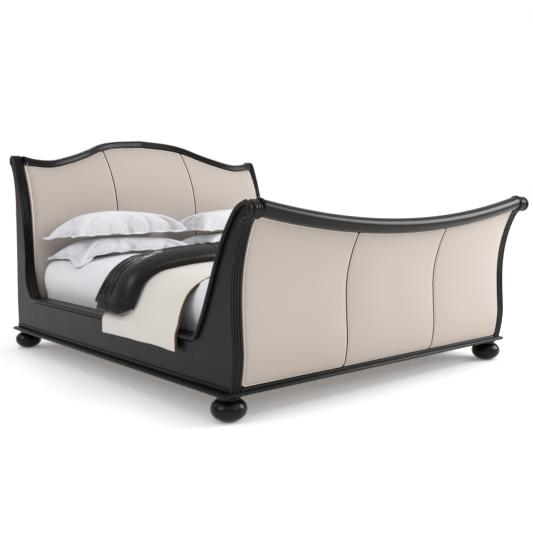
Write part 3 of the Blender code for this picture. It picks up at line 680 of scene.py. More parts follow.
def crestTop(x):
    # Serpentine top: a high middle, a dip near each end and a rise at the post
    end, rise = 1.253, crest["rise"]
    line = smoothCurve([(0.0, end + rise + 0.006), (0.23, end + 0.93 * rise), (0.37, end + 0.74 * rise),
                        (0.50, end + 0.40 * rise), (0.63, end + 0.11 * rise), (0.76, end - 0.12 * rise),
                        (0.84, end - 0.17 * rise), (0.93, end - 0.12 * rise), (1.0, end)], 120)
    return np.interp(np.abs(x) / bed["postInner"], line[:, 0], line[:, 1])


def headSurface(x, v, layer):
    # Headboard layer at x and at a share v of its height: it thins a little towards the crest
    top = crestTop(x) - crest["section"] - 0.0009
    z = headPad["bottom"] + (top - headPad["bottom"]) * v
    return headFace(z) + headLayers[layer] * (1.0 - 0.42 * v ** 4), z


def clustered(count, share):
    # Steps from 0 to 1 that crowd towards both ends, by an S curve mixed with even steps
    even = np.linspace(0.0, 1.0, count)
    return (1.0 - share) * even + share * (0.5 - 0.5 * np.cos(math.pi * even))


def cushionGrid(low, high, height, edges, columns, rows):
    # Plan of a pad: a grid whose corners are drawn round, with q measuring how far into a rounded edge
    left, right, bottom, top = edges
    x = (low + (high - low) * clustered(columns, 0.85))[None].repeat(rows, 0)
    f = (height * clustered(rows, 0.85))[:, None].repeat(columns, 1)
    fromX = np.where(x < (low + high) / 2, x - low, high - x)
    edgeX = np.where(x < (low + high) / 2, left, right)
    fromZ = np.where(f < height / 2, f, height - f)
    edgeZ = np.where(f < height / 2, bottom, top)
    qx = np.clip(1.0 - fromX / edgeX, 0.0, 1.0)
    qz = np.clip(1.0 - fromZ / edgeZ, 0.0, 1.0)
    reach = np.hypot(qx, qz)
    pull = np.where((qx > 0) & (qz > 0), np.maximum(qx, qz) / np.maximum(reach, 1e-9), 1.0)
    moveX = np.where(x < (low + high) / 2, 1.0, -1.0) * edgeX * (qx - qx * pull)
    moveZ = np.where(f < height / 2, 1.0, -1.0) * edgeZ * (qz - qz * pull)
    x, f = x + moveX, f + moveZ
    q = np.clip(np.hypot(qx * pull, qz * pull), 0.0, 1.0)
    return x, f / height, q


def padShells(surface, low, high, height, edges, thick, crown, depth):
    # A pad on a curved board: its face is the board's front, raised by a crown and dropped at its edges
    x, v, q = cushionGrid(low, high, height, edges, 48, 84)
    y, z = surface(x, v, 0)
    drop = depth * (1.0 - np.sqrt(np.maximum(0.0, 1.0 - q * q)))
    across = (x - low) / (high - low)
    swell = crown * (1.0 - (2 * across - 1) ** 4) * np.sin(math.pi * np.clip(v, 0, 1)) ** 0.8
    slopeY = np.gradient(y, axis=0)
    slopeZ = np.gradient(z, axis=0)
    size = np.hypot(slopeY, slopeZ)
    outY, outZ = -slopeZ / size, slopeY / size
    face = np.stack([x, y + outY * (swell - drop), z + outZ * (swell - drop)], axis=-1)
    back = np.stack([x, y - outY * (thick - 0.001), z - outZ * (thick - 0.001)], axis=-1)
    rows, columns = x.shape
    frontPoints, frontFaces, frontMaps = shell(face)
    backPoints, backFaces, backMaps = shell(back)
    index = np.arange(rows * columns).reshape(rows, columns)
    border = np.concatenate([index[0, :-1], index[:-1, -1], index[-1, :0:-1], index[:0:-1, 0]])
    following = np.roll(border, -1)
    count = rows * columns
    wall = np.stack([border, following, following + count, border + count], axis=1)
    wallMaps = np.zeros((len(wall) * 4, 2))
    wallMaps[:, 0] = np.repeat(np.arange(len(wall)) * 0.01, 4)
    points = np.vstack([frontPoints, backPoints])
    faces = frontFaces + [[i + count for i in f] for f in backFaces] + wall.tolist()
    # Painted shade: browner into the rounded edges, in a band along the bottom, and in a thinner band under
    # the rail at the top
    toBottom = np.exp(-np.clip(v, 0, 1) * height / 0.12) * 0.50
    toTop = np.exp(-(1 - np.clip(v, 0, 1)) * height / 0.05) * 0.30
    rim = np.clip(0.75 * q * q + toBottom + toTop, 0.0, 0.85)
    rim = np.concatenate([rim.ravel(), rim.ravel()])
    return (points, faces, np.vstack([frontMaps, backMaps, wallMaps])), rim


def makeCushions(board, surface, height, rounding, thick, crown, depth, paintedShadeShare, radius, inset):
    # A board's three pads, each with a welt round it; the seams are rounded tighter than the outer edges
    outer, seam, bottom, top = rounding
    edge, near, far = bed["postInner"] - gap, bed["seam"] - 0.0025, bed["seam"] + 0.0025
    plans = (("left", -edge, -far, outer, seam), ("centre", -near, near, seam, seam),
             ("right", far, edge, seam, outer))
    for padName, low, high, left, right in plans:
        edges = (left, right, bottom, top)
        made, rim = padShells(surface, low, high, height, edges, thick, crown, depth)
        # The board's share scales how much painted shade its pads carry
        pad = build(f"{board}_cushion_{padName}", [made], "cream", "bed_frame",
                    [f"{board}_pad_{padName}"], 60.0, rim * paintedShadeShare)
        weltRound(f"{board}_welt_{padName}", surface, low, high, height, edges, depth, radius, inset)


def rollRings(x, height, radius):
    # Circles round the roll's line, one at each x
    turn = np.linspace(0.0, 2 * math.pi, 56, endpoint=False)
    points = np.empty((len(x), len(turn), 3))
    points[..., 0] = x
    points[..., 1] = roll["y"] + radius * np.cos(turn)
    points[..., 2] = height + radius * np.sin(turn)
    return [shell(points, True, True)]


def makeFootboard():
    makeFootPosts()
    end = bed["postInner"] - gap - roll["collarWidth"] - gap
    x = np.linspace(-end, end, 120)
    black("footboard_roll", rollRings(x[:, None], rollHeight(x)[:, None], roll["radius"]), "across",
          "footboard_roll_rail")
    for sideName, side in sides:
        # Collar: two thin beads with a hollow between them, turned round the roll's end
        inner = bed["postInner"] - gap
        ring = np.array([(0.0, 0.0340), (0.0, 0.0385), (0.0010, 0.0402), (0.0026, 0.0408), (0.0042, 0.0402),
                         (0.0052, 0.0386), (0.0066, 0.0379), (0.0080, 0.0386), (0.0092, 0.0398),
                         (0.0108, 0.0403), (0.0124, 0.0398), (0.0136, 0.0384), (0.0140, 0.0350)])
        black(f"footboard_collar_{sideName}_turned",
              rollRings(side * (inner - ring[:, :1]), rollHeight(end), ring[:, 1:]), "turned",
              f"footboard_collar_{sideName}")
    edge = bed["postInner"] - gap
    face = bed["footFace"]
    outline = np.vstack([[(face + 0.070, bed["floorOfPosts"])], [(face + 0.004, bed["floorOfPosts"])],
                         arc((face + 0.0035, bed["floorOfPosts"] + 0.0072), 0.0072, -90, -270, 12),
                         [(face + 0.070, bed["floorOfPosts"] + 0.0152)]])
    bar = np.empty((7, len(outline), 3))
    bar[..., 0] = np.linspace(-edge, edge, 7)[:, None]
    bar[..., 1:] = outline
    black("footboard_bottom_bead", [shell(bar, True, True)], "across", "footboard_bottom_rail", 50.0)
    rounding = (footPad["corner"], footPad["seamEdge"], footPad["corner"], 0.012)
    makeCushions("footboard", footSurface, 0.70, rounding, footPad["thick"], footPad["crown"], 0.011,
                 1.0, 0.0021, 0.0045)
    seamCords("footboard", footSurface, 0.0016, 0.0034)
    x = np.linspace(-edge, edge, 120)[None]
    v = clustered(70, 0.5)[:, None]
    frontY, frontZ = footSurface(x + 0 * v, v + 0 * x, 2)
    backY, backZ = footSurface(x + 0 * v, v + 0 * x, 3)
    tufts = 0.75 + 0.25 * np.cos(x * math.pi / 0.31)
    puff = 0.007 * (1 - (x / edge) ** 8) * np.sin(math.pi * v) ** 0.5 * tufts
    front = np.stack([x + 0 * v, frontY + 0.0008, frontZ], axis=-1)
    back = np.stack([x + 0 * v, backY + puff, backZ + 0 * v], axis=-1)
    ring = np.concatenate([front, back[::-1]], axis=0).transpose(1, 0, 2)
    # The inside panel gets an even 0.12 of the brown that paints shade on the pads, all over
    build("footboard_inside", [shell(ring, True, True)], "cream", "bed_frame",
          ["footboard_inner_panel"], 50.0, np.full(ring.shape[0] * ring.shape[1], 0.12))


def onBoard(surface, x, v, lift):
    # A point on a board's front, lifted off it along the board's side-view normal
    y, z = surface(x, v, 0)
    y2, z2 = surface(x, v + 0.004, 0)
    y1, z1 = surface(x, v - 0.004, 0)
    size = np.hypot(y2 - y1, z2 - z1)
    return np.stack([x + 0 * y, y - lift * (z2 - z1) / size, z + lift * (y2 - y1) / size], axis=-1)


def weltRound(name, surface, low, high, height, edges, depth, radius, inset):
    # A thin cord along a pad's border, on the pad's own rounded outline drawn in, and on its rounded face
    left, right, bottom, top = edges
    corners = ((high, 0.0, -90, right, bottom), (high, 1.0, 0, right, top), (low, 1.0, 90, left, top),
               (low, 0.0, 180, left, bottom))
    path = []
    for number, (cornerX, cornerV, start, radiusX, radiusZ) in enumerate(corners):
        angle = np.radians(np.linspace(start, start + 90, 9))
        centreX = cornerX + (-radiusX if cornerX == high else radiusX)
        centreV = cornerV + (-radiusZ if cornerV == 1.0 else radiusZ) / height
        before, after = (radiusZ, radiusX) if number % 2 == 0 else (radiusX, radiusZ)
        q = 1.0 - inset / np.linspace(before, after, 9)
        path.append(np.stack([centreX + (radiusX - inset) * np.cos(angle),
                              centreV + (radiusZ - inset) / height * np.sin(angle),
                              0.0006 - depth * (1.0 - np.sqrt(1.0 - q * q))], axis=1))
    turned = []
    for first, second in zip(path, path[1:] + path[:1]):
        steps = np.linspace(0, 1, 72)[1:-1, None]
        turned += [first, first[-1] * (1 - steps) + second[0] * steps]
    plan = np.vstack(turned)
    points = onBoard(surface, plan[:, 0], np.clip(plan[:, 1], 0.002, 0.998), plan[:, 2])
    build(name, [tube(points, radius, 8, True)], "welt", "bed_frame")


def seamCords(board, surface, sink, radius):
    # A dark cord down each seam, level with the pads' faces
    for sideName, side in sides:
        v = np.linspace(0.006, 0.994, 110)
        points = onBoard(surface, np.full_like(v, side * bed["seam"]), v, -sink)
        build(f"{board}_cord_{sideName}", [tube(points, radius, 10)], "brown", "bed_frame",
              [f"{board}_piping_{sideName}"])


def makeHeadboard():
    makeHeadPosts()
    edge = bed["postInner"] - gap
    x = np.linspace(-edge, edge, 150)
    top = crestTop(x)[:, None]
    front = headFace(top - crest["section"]) - 0.010
    # Crest section: a rounded bar with a thin bead along the lower front edge
    radius, deep, tall = 0.019, crest["depth"], crest["section"]
    section = np.vstack([arc((radius, -radius), radius, 180, 90, 8),
                         arc((deep - radius, -radius), radius, 90, 0, 8),
                         arc((deep - 0.012, -tall + 0.012), 0.012, 0, -90, 6),
                         [(0.020, -tall)], [(0.010, -tall)],
                         arc((0.0050, -tall + 0.0052), 0.0052, -70, -220, 8), [(0.0022, -tall + 0.0115)]])
    points = np.empty((len(x), len(section), 3))
    points[..., 0] = x[:, None]
    points[..., 1] = front + section[:, 0]
    points[..., 2] = top + section[:, 1]
    black("headboard_crest", [shell(points, True, True)], "across", "headboard_crest_rail")
    rounding = (headPad["edge"], headPad["seamEdge"], 0.020, headPad["topEdge"])
    makeCushions("headboard", headSurface, 0.98, rounding, headPad["thick"] * 0.55, 0.006, 0.030,
                 0.8, 0.0034, 0.0060)
    seamCords("headboard", headSurface, 0.0030, 0.0046)
    x = np.linspace(-edge, edge, 110)[None]
    v = clustered(60, 0.3)[:, None]
    nearY, nearZ = headSurface(x + 0 * v, v + 0 * x, 2)
    farY, farZ = headSurface(x + 0 * v, v + 0 * x, 3)
    near = np.stack([x + 0 * v, nearY + 0.0008, nearZ], axis=-1)
    far = np.stack([x + 0 * v, farY, farZ], axis=-1)
    ring = np.concatenate([near, far[::-1]], axis=0).transpose(1, 0, 2)
    black("headboard_back_board", [shell(ring, True, True)], "across", "headboard_back_panel", 50.0)


# ---- bedding
mattress = {"halfWidth": 0.900, "foot": -1.015, "head": 0.985, "bottom": 0.3040, "corner": 0.110}
pillow = {"width": 0.800, "depth": 0.440, "centreX": 0.465, "centreY": 0.715, "lowerTop": 0.7255,
          "flange": 0.036, "columns": 84, "rows": 50, "frames": 24, "seamHeight": 0.022,
          "lowerForward": 0.030}
bagCloth = {"quality": 8, "mass": 0.3, "tension_stiffness": 22.0, "compression_stiffness": 9.0,
            "shear_stiffness": 7.0, "bending_stiffness": 0.18, "use_pressure": True,
            "uniform_pressure_force": 3.2}
throw = {"foot": -0.780, "head": -0.085, "thick": 0.0045, "hem": 0.264}
runner = {"endX": 1.005, "skew": 0.040}


def mattressTop(x):
    # Height of the made-up mattress across the bed, as read by the sheets that lie on it
    line = smoothCurve([(0.0, 0.6215), (0.35, 0.6215), (0.52, 0.6185), (0.65, 0.6110), (0.76, 0.5970),
                        (0.81, 0.5880), (0.865, 0.5690), (0.895, 0.5450)], 120)
    return np.interp(np.abs(x), line[:, 0], line[:, 1])


def ringPlan(halfX, halfY, radius, count):
    # Rounded rectangle: a square's border, each point pushed out from the inner rectangle to the radius
    t = np.linspace(0, 4, count, endpoint=False)
    side = np.floor(t).astype(int)
    s = 2 * (t - side) - 1
    sx = np.choose(side, [s, np.ones_like(s), -s, -np.ones_like(s)])
    sy = np.choose(side, [-np.ones_like(s), s, np.ones_like(s), -s])
    halfX, halfY, radius = (np.asarray(a, float)[:, None] for a in (halfX, halfY, radius))
    px, py = sx * halfX, sy * halfY
    coreX = np.clip(px, -(halfX - radius), halfX - radius)
    coreY = np.clip(py, -(halfY - radius), halfY - radius)
    outX, outY = px - coreX, py - coreY
    size = np.maximum(np.hypot(outX, outY), 1e-9)
    return coreX + outX / size * radius, coreY + outY / size * radius


def makeMattress():
    # Rings of a rounded rectangle: (inset, height) up the side and over the shoulder to the crown
    sideRings = smoothCurve([(0.060, mattress["bottom"]), (0.018, 0.307), (0.003, 0.325), (0.000, 0.360),
                             (-0.012, 0.410), (-0.018, 0.460), (-0.010, 0.510), (0.010, 0.548),
                             (0.045, 0.578), (0.090, 0.5920)], 44)
    inner = np.linspace(0.11, 0.86, 34)
    inset = np.concatenate([sideRings[:, 0], inner])
    halfLength = (mattress["head"] - mattress["foot"]) / 2
    centre = (mattress["head"] + mattress["foot"]) / 2
    plainInset = np.maximum(inset, 0.0)
    radius = np.maximum(mattress["corner"] - plainInset, 0.012)
    x, y = ringPlan(mattress["halfWidth"] - inset, halfLength - plainInset, radius, 480)
    height = np.concatenate([sideRings[:, 1], mattressTop(mattress["halfWidth"] - inner)])
    z = height[:, None] + 0 * x
    onTop = step((inset - 0.02) / 0.12)[:, None]
    tuft = 0.0035 * np.sin(9.0 * x + 2.0 * np.sin(4.1 * y)) * np.sin(7.3 * y + 1.4 * np.sin(5.0 * x))
    z += onTop * tuft
    seam = np.exp(-((height[:, None] - 0.535) / 0.003) ** 2) * (inset < 0.1)[:, None] * 0.0018
    x -= np.sign(x) * seam * (np.abs(x) > 0.7)
    atSide = np.exp(-((height[:, None] - 0.46) / 0.05) ** 2)
    wave = 0.0035 * np.sin(11.0 * y + 1.5) * np.sin(3.1 * y) * atSide
    x += np.sign(x) * wave * (np.abs(x) > 0.8)
    points = np.stack([x, y + centre, z], axis=-1)
    made = build("mattress_made_up", [shell(points, True, True)], "white", "mattress_with_throw",
                 ["mattress"], 70.0)


def pillowBag(seed):
    # A flat bag of two leaves that share a border, a little open at the start, and shorter at mid-side
    columns, rows = pillow["columns"], pillow["rows"]
    a = np.linspace(-1, 1, columns)[None] + np.zeros((rows, 1))
    b = np.linspace(-1, 1, rows)[:, None] + np.zeros((1, columns))
    x = a * pillow["width"] / 2
    y = b * pillow["depth"] / 2
    open_ = 0.030 * np.sqrt(np.maximum(1 - a ** 2, 0) * np.maximum(1 - b ** 2, 0))
    open_ *= 1.0 + 0.10 * np.sin(5.0 * a + seed) * np.sin(4.0 * b + 2 * seed)
    top = np.stack([x, y, open_], axis=-1).reshape(-1, 3)
    index = np.arange(rows * columns).reshape(rows, columns)
    inside = index[1:-1, 1:-1].ravel()
    lowerIndex = index.copy()
    lowerIndex[1:-1, 1:-1] = rows * columns + np.arange(len(inside)).reshape(rows - 2, columns - 2)
    points = np.vstack([top, top[inside] * np.array([1.0, 1.0, -1.0])])
    quads = []
    for grid, turn in ((index, 1), (lowerIndex, -1)):
        quad = np.stack([grid[:-1, :-1], grid[:-1, 1:], grid[1:, 1:], grid[1:, :-1]], axis=-1)
        quads.append(quad.reshape(-1, 4)[:, ::turn])
    border = np.concatenate([index[0, :-1], index[:-1, -1], index[-1, :0:-1], index[:0:-1, 0]])
    return points, np.vstack(quads), border


def puffUp(name, points, quads):
    # The bag is blown up as cloth that hardly stretches, which gathers its sides into pleats
    data = bpy.data.meshes.new(name)
    data.from_pydata(points.tolist(), [], quads.tolist())
    bag = bpy.data.objects.new(name, data)
    scene.collection.objects.link(bag)
    cloth = bag.modifiers.new("cloth", "CLOTH")
    for setting, value in bagCloth.items():
        setattr(cloth.settings, setting, value)
    cloth.settings.effector_weights.gravity = 0.0
    cloth.point_cache.frame_start = 1
    cloth.point_cache.frame_end = pillow["frames"]
    for number in range(1, pillow["frames"] + 1):
        scene.frame_set(number)
    ready = bag.evaluated_get(bpy.context.evaluated_depsgraph_get())
    result = np.empty(len(points) * 3, np.float32)
    ready.to_mesh().vertices.foreach_get("co", result)
    ready.to_mesh_clear()
    scene.frame_set(1)
    bpy.data.objects.remove(bag)
    bpy.data.meshes.remove(data)
    return result.reshape(-1, 3).astype(float)


def blownBag(name, seed):
    # The bag of one layer, blown up once and kept for both sides of the bed
    points, quads, border = pillowBag(seed)
    start = points.copy()
    points = puffUp(f"bag_{name}", points, quads)
    return points, quads, border, start


def makePillow(name, side, level, height, tilt, seed, droop, bag):
    points, quads, border, start = bag
    half = np.array([-side, -side, 1.0])
    points, start = points * half, start * half
    # Drawn back to its size, and flattened where it lies on what is under it
    for axis, size in ((0, pillow["width"]), (1, pillow["depth"])):
        points[:, axis] *= size / (points[:, axis].max() - points[:, axis].min())
    points[:, 2] *= height / (points[:, 2].max() - points[:, 2].min())
    share = (start[:, 0] * 2 / pillow["width"], start[:, 1] * 2 / pillow["depth"])
    wave = 0.007 * np.sin(3.2 * share[0] + seed) * np.cos(2.1 * share[1] - seed)
    points[:, 2] += wave
    middleZ = 0.40 * height
    points[:, 2] += middleZ
    floorZ = 0.010
    low = points[:, 2] < floorZ
    points[low, 2] = floorZ + (points[low, 2] - floorZ) * 0.10
    seamZ = pillow["seamHeight"]
    edge = np.maximum(np.abs(share[0]), np.abs(share[1])) ** 8
    points[:, 2] = points[:, 2] * (1 - edge) + (seamZ + (points[:, 2] - middleZ) * 0.5) * edge
    # The flange: a thin double band that stands out from the seam and ripples a little
    seam = points[border]
    run = np.roll(seam, -1, axis=0)[:, :2] - np.roll(seam, 1, axis=0)[:, :2]
    run = (run + np.roll(run, 1, axis=0) + np.roll(run, -1, axis=0))
    run /= np.linalg.norm(run, axis=1, keepdims=True)
    out = np.stack([run[:, 1], -run[:, 0]], axis=1)
    count = np.arange(len(seam))
    ripple = 0.0035 * np.sin(count * 0.47 + seed) + 0.003 * np.sin(count * 0.21 + 2 * seed)
    reach = np.concatenate([np.linspace(-0.15, 1.0, 7), np.linspace(1.0, -0.15, 7)])
    thick = np.repeat([0.0016, -0.0016], 7)
    band = np.empty((len(seam), 14, 3))
    band[..., :2] = seam[:, None, :2] + out[:, None] * (reach[None, :, None] * pillow["flange"])
    band[..., 2] = seam[:, None, 2] + thick + (ripple[:, None] - 0.004) * np.clip(reach, 0, 1) ** 1.3
    maps = points[quads.ravel()][:, :2]
    shells = [(points, quads.tolist(), maps), shell(band, True, False, True)]
    turn = math.radians(tilt)
    placed = []
    for part, faces, uvs in shells:
        x = part[:, 0] * math.cos(turn) - part[:, 1] * math.sin(turn) + pillow["centreX"]
        y = part[:, 0] * math.sin(turn) + part[:, 1] * math.cos(turn) + pillow["centreY"]
        y -= pillow["lowerForward"] * (1.0 if name == "lower" else -0.5)
        z = part[:, 2] + level
        # The outer corners sag over the shoulder of what the pillow lies on
        outer = np.clip((x - 0.62) / 0.29, 0.0, 1.2) ** 1.7
        front = step((0.80 - y) / 0.42)
        z = z - outer * (droop[0] * front + droop[1] * (1 - front))
        if name == "lower":
            z = np.maximum(z, mattressTop(np.minimum(x, 0.894)) + 0.004)
            top = pillow["lowerTop"]
            z = np.where(z > top, top + (z - top) * 0.08, z)
        placed.append((np.stack([side * x, y, z], axis=1), faces, uvs))
    sideName = {-1: "left", 1: "right"}[side]
    node = f"pillow_{name}_{sideName}"
    case = build(node + "_case", placed, "white", f"{sideName}_{name}_pillow", [node], 70.0)


def makePillows():
    layers = (("lower", 0.6235, 0.118, 1.2, 0.6, (0.085, 0.060)),
              ("upper", 0.7330, 0.172, -0.8, 2.3, (0.012, 0.030)))
    for name, level, height, tilt, seed, droop in layers:
        bag = blownBag(name, seed - 1.0)
        for _, side in sides:
            makePillow(name, side, level, height, tilt, seed + side, droop, bag)
        print("pillows made", name)


def drapeLine(bulge):
    # Upper side of the mattress in the end view, over the rail's cap and down to the hem, as (x, z)
    near = [(0.0, 0.6265), (0.35, 0.6265), (0.52, 0.6235), (0.65, 0.6160), (0.76, 0.6020), (0.82, 0.5910),
            (0.872 + 0.010 * bulge, 0.5650), (0.909 + 0.022 * bulge, 0.5300),
            (0.932 + 0.030 * bulge, 0.4850), (0.952 + 0.032 * bulge, 0.4350),
            (0.978 + 0.020 * bulge, 0.3850), (1.003 + 0.006 * bulge, 0.3600),
            (1.0145, 0.3440), (1.0165, 0.3250), (1.0165, 0.295), (1.0165, throw["hem"])]
    return smoothCurve(near, 150)


def thicken(piece, thick):
    solid = piece.modifiers.new("thickness", "SOLIDIFY")
    solid.thickness = thick
    solid.offset = 0.0


def makeThrow():
    # The end-view line carried along the bed: its bulge grows to the foot edge, and folds deepen to the hem
    y = np.linspace(throw["foot"], throw["head"], 100)
    share = (y - throw["foot"]) / (throw["head"] - throw["foot"])
    bulge = 1.0 - step(share / 0.75)
    lines = (drapeLine(0.0)[None] * (1 - bulge)[:, None, None]
             + drapeLine(1.0)[None] * bulge[:, None, None])
    down = np.linspace(0, 1, lines.shape[1])[None]
    hang = step((down - 0.74) / 0.26)
    slope = step((down - 0.55) / 0.2) * (1 - hang)
    folds = 0.0055 * np.sin(13.0 * y[:, None] + 0.8) + 0.003 * np.sin(27.0 * y[:, None] + 2.0)
    x = (lines[..., 0] + hang * np.maximum(folds + 0.004, -0.001)
         + slope * 0.004 * np.sin(8.0 * y[:, None]))
    z = lines[..., 1] - hang * 0.006 * np.sin(5.5 * y[:, None] + 1.0) * (down > 0.93)
    yy = y[:, None] + hang * 0.008 * (share[:, None] - 0.5) * 2
    half = np.stack([x, yy + 0 * x, z], axis=-1)
    other = half[:, :0:-1] * np.array([-1.0, 1.0, 1.0])
    top = np.concatenate([other, half], axis=1)
    sheet = build("throw_cloth", [shell(top)], "throw", "mattress_with_throw", ["throw"],
                  80.0)
    thicken(sheet, throw["thick"])
    edge = top[0] + np.array([0.0, -0.0022, 0.0])
    piping = build("throw_piping", [tube(edge, 0.0026, 8)], "tan", "mattress_with_throw")
    strip = top[:4].copy()
    strip[..., 1] = top[0, :, 1][None] + np.linspace(-0.0125, 0.02, 4)[:, None]
    strip[..., 0] -= np.sign(strip[..., 0]) * 0.004 * (np.abs(strip[..., 0]) > 0.6)
    strip[..., 2] -= 0.0042
    lining = build("throw_lining", [shell(strip)], "brown", "mattress_with_throw")
    thicken(lining, 0.0016)


def runnerProfile(count):
    # Section of the folded quilt from its head edge: three stitched channels, then a puffy roll
    top = [(0.000, 0.006), (0.004, 0.026), (0.001, 0.046), (-0.012, 0.056), (-0.030, 0.0590),
           (-0.060, 0.0575), (-0.090, 0.0600), (-0.116, 0.0575), (-0.145, 0.0585), (-0.170, 0.0550),
           (-0.184, 0.0570), (-0.196, 0.0640), (-0.222, 0.0790), (-0.262, 0.0880), (-0.308, 0.0860),
           (-0.350, 0.0710), (-0.382, 0.0450), (-0.392, 0.0200), (-0.384, 0.0050), (-0.360, 0.0010)]
    curve = smoothCurve(top, count - 12)
    under = np.stack([np.linspace(curve[-1, 0], curve[0, 0], 14)[1:-1], np.full(12, 0.0008)], axis=1)
    return np.vstack([curve, under])


def makeRunner():
    # The section is carried over the drape line: where it hangs it is flatter, nearer the head and oval
    line = drapeLine(0.35)
    line = line[line[:, 0] < runner["endX"]]
    half = np.stack([line[:, 0], line[:, 1] + 0.004], axis=1)
    path = smoothCurve(np.vstack([half[:0:-1] * np.array([-1.0, 1.0]), half])[::4], 450)
    normal = -rightOf(path)
    forward = np.stack([-normal[:, 1], normal[:, 0]], axis=1)
    length = np.concatenate([[0.0], np.cumsum(np.linalg.norm(np.diff(path, axis=0), axis=1))])
    fromEnd = np.minimum(length, length[-1] - length)
    section = runnerProfile(190)
    # Three stitched channels: each is crowned by the root of a sine, which leaves sharp valleys
    channel = np.interp(section[:, 0], (-0.170, -0.116, -0.060, -0.004), (3.0, 2.0, 1.0, 0.0))
    crown = 0.013 * np.sqrt(np.abs(np.sin(math.pi * channel))) - 0.008
    heights = section[:, 1].copy()
    crown = crown * (heights > 0.04) * (section[:, 0] > -0.176)
    middleY = section[:, 0].mean()
    reach = (section[:, 0] - section[:, 0].min()) / np.ptp(section[:, 0])
    oval = 0.004 + 0.074 * np.sqrt(np.maximum(0.0, 1.0 - np.abs(2.0 * reach - 1.0) ** 2.8))
    even = (1.0 - step(fromEnd / 0.13))[:, None] * (np.arange(len(section)) < len(section) - 12)[None]
    rise = (heights[None] * (1.0 - even) + oval[None] * even
            + crown[None] * step((fromEnd - 0.01) / 0.09)[:, None])
    onRoll = step((-section[:, 0] - 0.17) / 0.04)[None]
    toEnd = (1.0 - step(fromEnd / 0.42))[:, None]
    slim = 1.0 - toEnd * (0.18 + 0.06 * onRoll)
    skew = runner["skew"] * (1.0 - step(fromEnd / 0.52))
    above = step((heights - 0.006) / 0.02)[None]
    onFlat = (1 - onRoll) * step((heights - 0.03) / 0.02)[None]
    s = length[:, None]
    p = section[None, :, 0] * 7.0 - section[None, :, 1] * 9.0
    wander = 1.9 * np.sin(9.0 * s) + 1.1 * np.sin(23.0 * s + 4.0 * p) + 2.6 * p
    ridges = np.sin(s * 84.0 + 3.0 * wander + 9.0 * p)
    second = np.sin(s * 74.0 - 3.0 * wander + 6.0 * p + 1.0)
    patches = 0.45 + 0.55 * np.clip(np.sin(7.0 * s + 1.3) + np.sin(3.1 * s + 9.0 * p), -0.6, 1.0)
    patches = patches * (0.10 + 0.90 * step((fromEnd - 0.24) / 0.16))[:, None]
    small = np.sin(s * 210.0 - 16.0 * p + 2.0 * np.sin(31.0 * s))
    crumple = above * onRoll * patches * (0.0125 * (1.0 - np.abs(ridges)) ** 1.5 + 0.0042 * second
                                          + 0.0006 * small)
    crumple = crumple + onFlat * (0.0007 * np.sin(s * 48.0 + 9.0 * p) + 0.0003 * small)
    height = 0.0008 + (rise - 0.0008) * slim + crumple * step(fromEnd / 0.08)[:, None]
    shoulder = step(fromEnd / 0.20) * (1.0 - step((fromEnd - 0.34) / 0.26))
    along = section[None, :, 0] - 0.065 * shoulder[:, None] * reach[None] ** 1.5
    # Each end is folded in: rings that shrink to a groove, and a smaller roll inside it
    shrink = np.ones(len(path))
    shift = np.zeros(len(path))
    folded = np.array([(0.02, -0.0060), (0.26, -0.0065), (0.40, -0.0045), (0.50, -0.0060), (0.56, -0.0110),
                       (0.66, -0.0110), (0.74, -0.0020), (0.84, 0.0010), (0.93, 0.0), (0.985, -0.0010)])
    shrink[:len(folded)] = folded[:, 0]
    shrink[-len(folded):] = folded[::-1, 0]
    shift[:len(folded)] = -folded[:, 1] - length[:len(folded)]
    shift[-len(folded):] = folded[::-1, 1] + (length[-1] - length[-len(folded):])
    mid = 0.5 * heights.max() * slim
    height = mid + (height - mid) * shrink[:, None]
    along = middleY + (along - middleY) * (0.55 + 0.45 * shrink[:, None])
    points = np.empty(height.shape + (3,))
    for axis, flat in ((0, 0), (2, 1)):
        points[..., axis] = (path[:, None, flat] + normal[:, None, flat] * height
                             + forward[:, None, flat] * shift[:, None])
    points[..., 1] = along + skew[:, None]
    points[..., 2] = np.maximum(points[..., 2], drapeFloor(points[..., 0]))
    quilt = build("runner_quilt", [shell(points, True, True)], "satin", "folded_runner",
                  ["runner"], 80.0)


def drapeFloor(x):
    # Height of the throw's upper side under a point, so that the quilt never sinks into it
    line = drapeLine(0.35)
    keep = line[:, 0] < 1.012
    return np.interp(np.abs(x), line[keep, 0], line[keep, 1]) + throw["thick"] / 2 + 0.0012


# ---- what stays as the model has it
def finishNodes():
    kept = {"centre_beam": "timber", "slat_ledger": "timber", "slat_set": "timberAcross",
            "corner_block": "timberAcross", "centre_leg": "upright", "footboard_core": "timberAcross",
            "headboard_core": "timberAcross", "headboard_bottom": "across"}
    for name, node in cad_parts.items():
        for start, look in kept.items():
            if name.startswith(start):
                node.data.materials.clear()
                node.data.materials.append(looks[look])


# ---- floor, light and camera
view = {"place": (-2.8492, -3.6541, 0.9569), "yaw": 0.6893, "pitch": 0.0893, "roll": -0.0093,
        "sensor": 36.0, "lens": 50.54386}
light = {
    "horizon": 0.36, "zenith": 0.86,
    # name, direction towards the light, strength and angular size in degrees
    "suns": (("frontLight", (0.30, -0.85, 0.62), 0.28, 24.0),
             ("leftLight", (-0.85, 0.10, 0.60), 0.70, 26.0),
             ("overheadLight", (0.05, 0.10, 1.0), 0.22, 50.0),
             ("backLight", (0.20, 0.80, 0.60), 0.50, 12.0)),
    "boxPlace": (4.6, -3.6, 3.0), "boxSize": 2.6, "boxPower": 235.0,
}


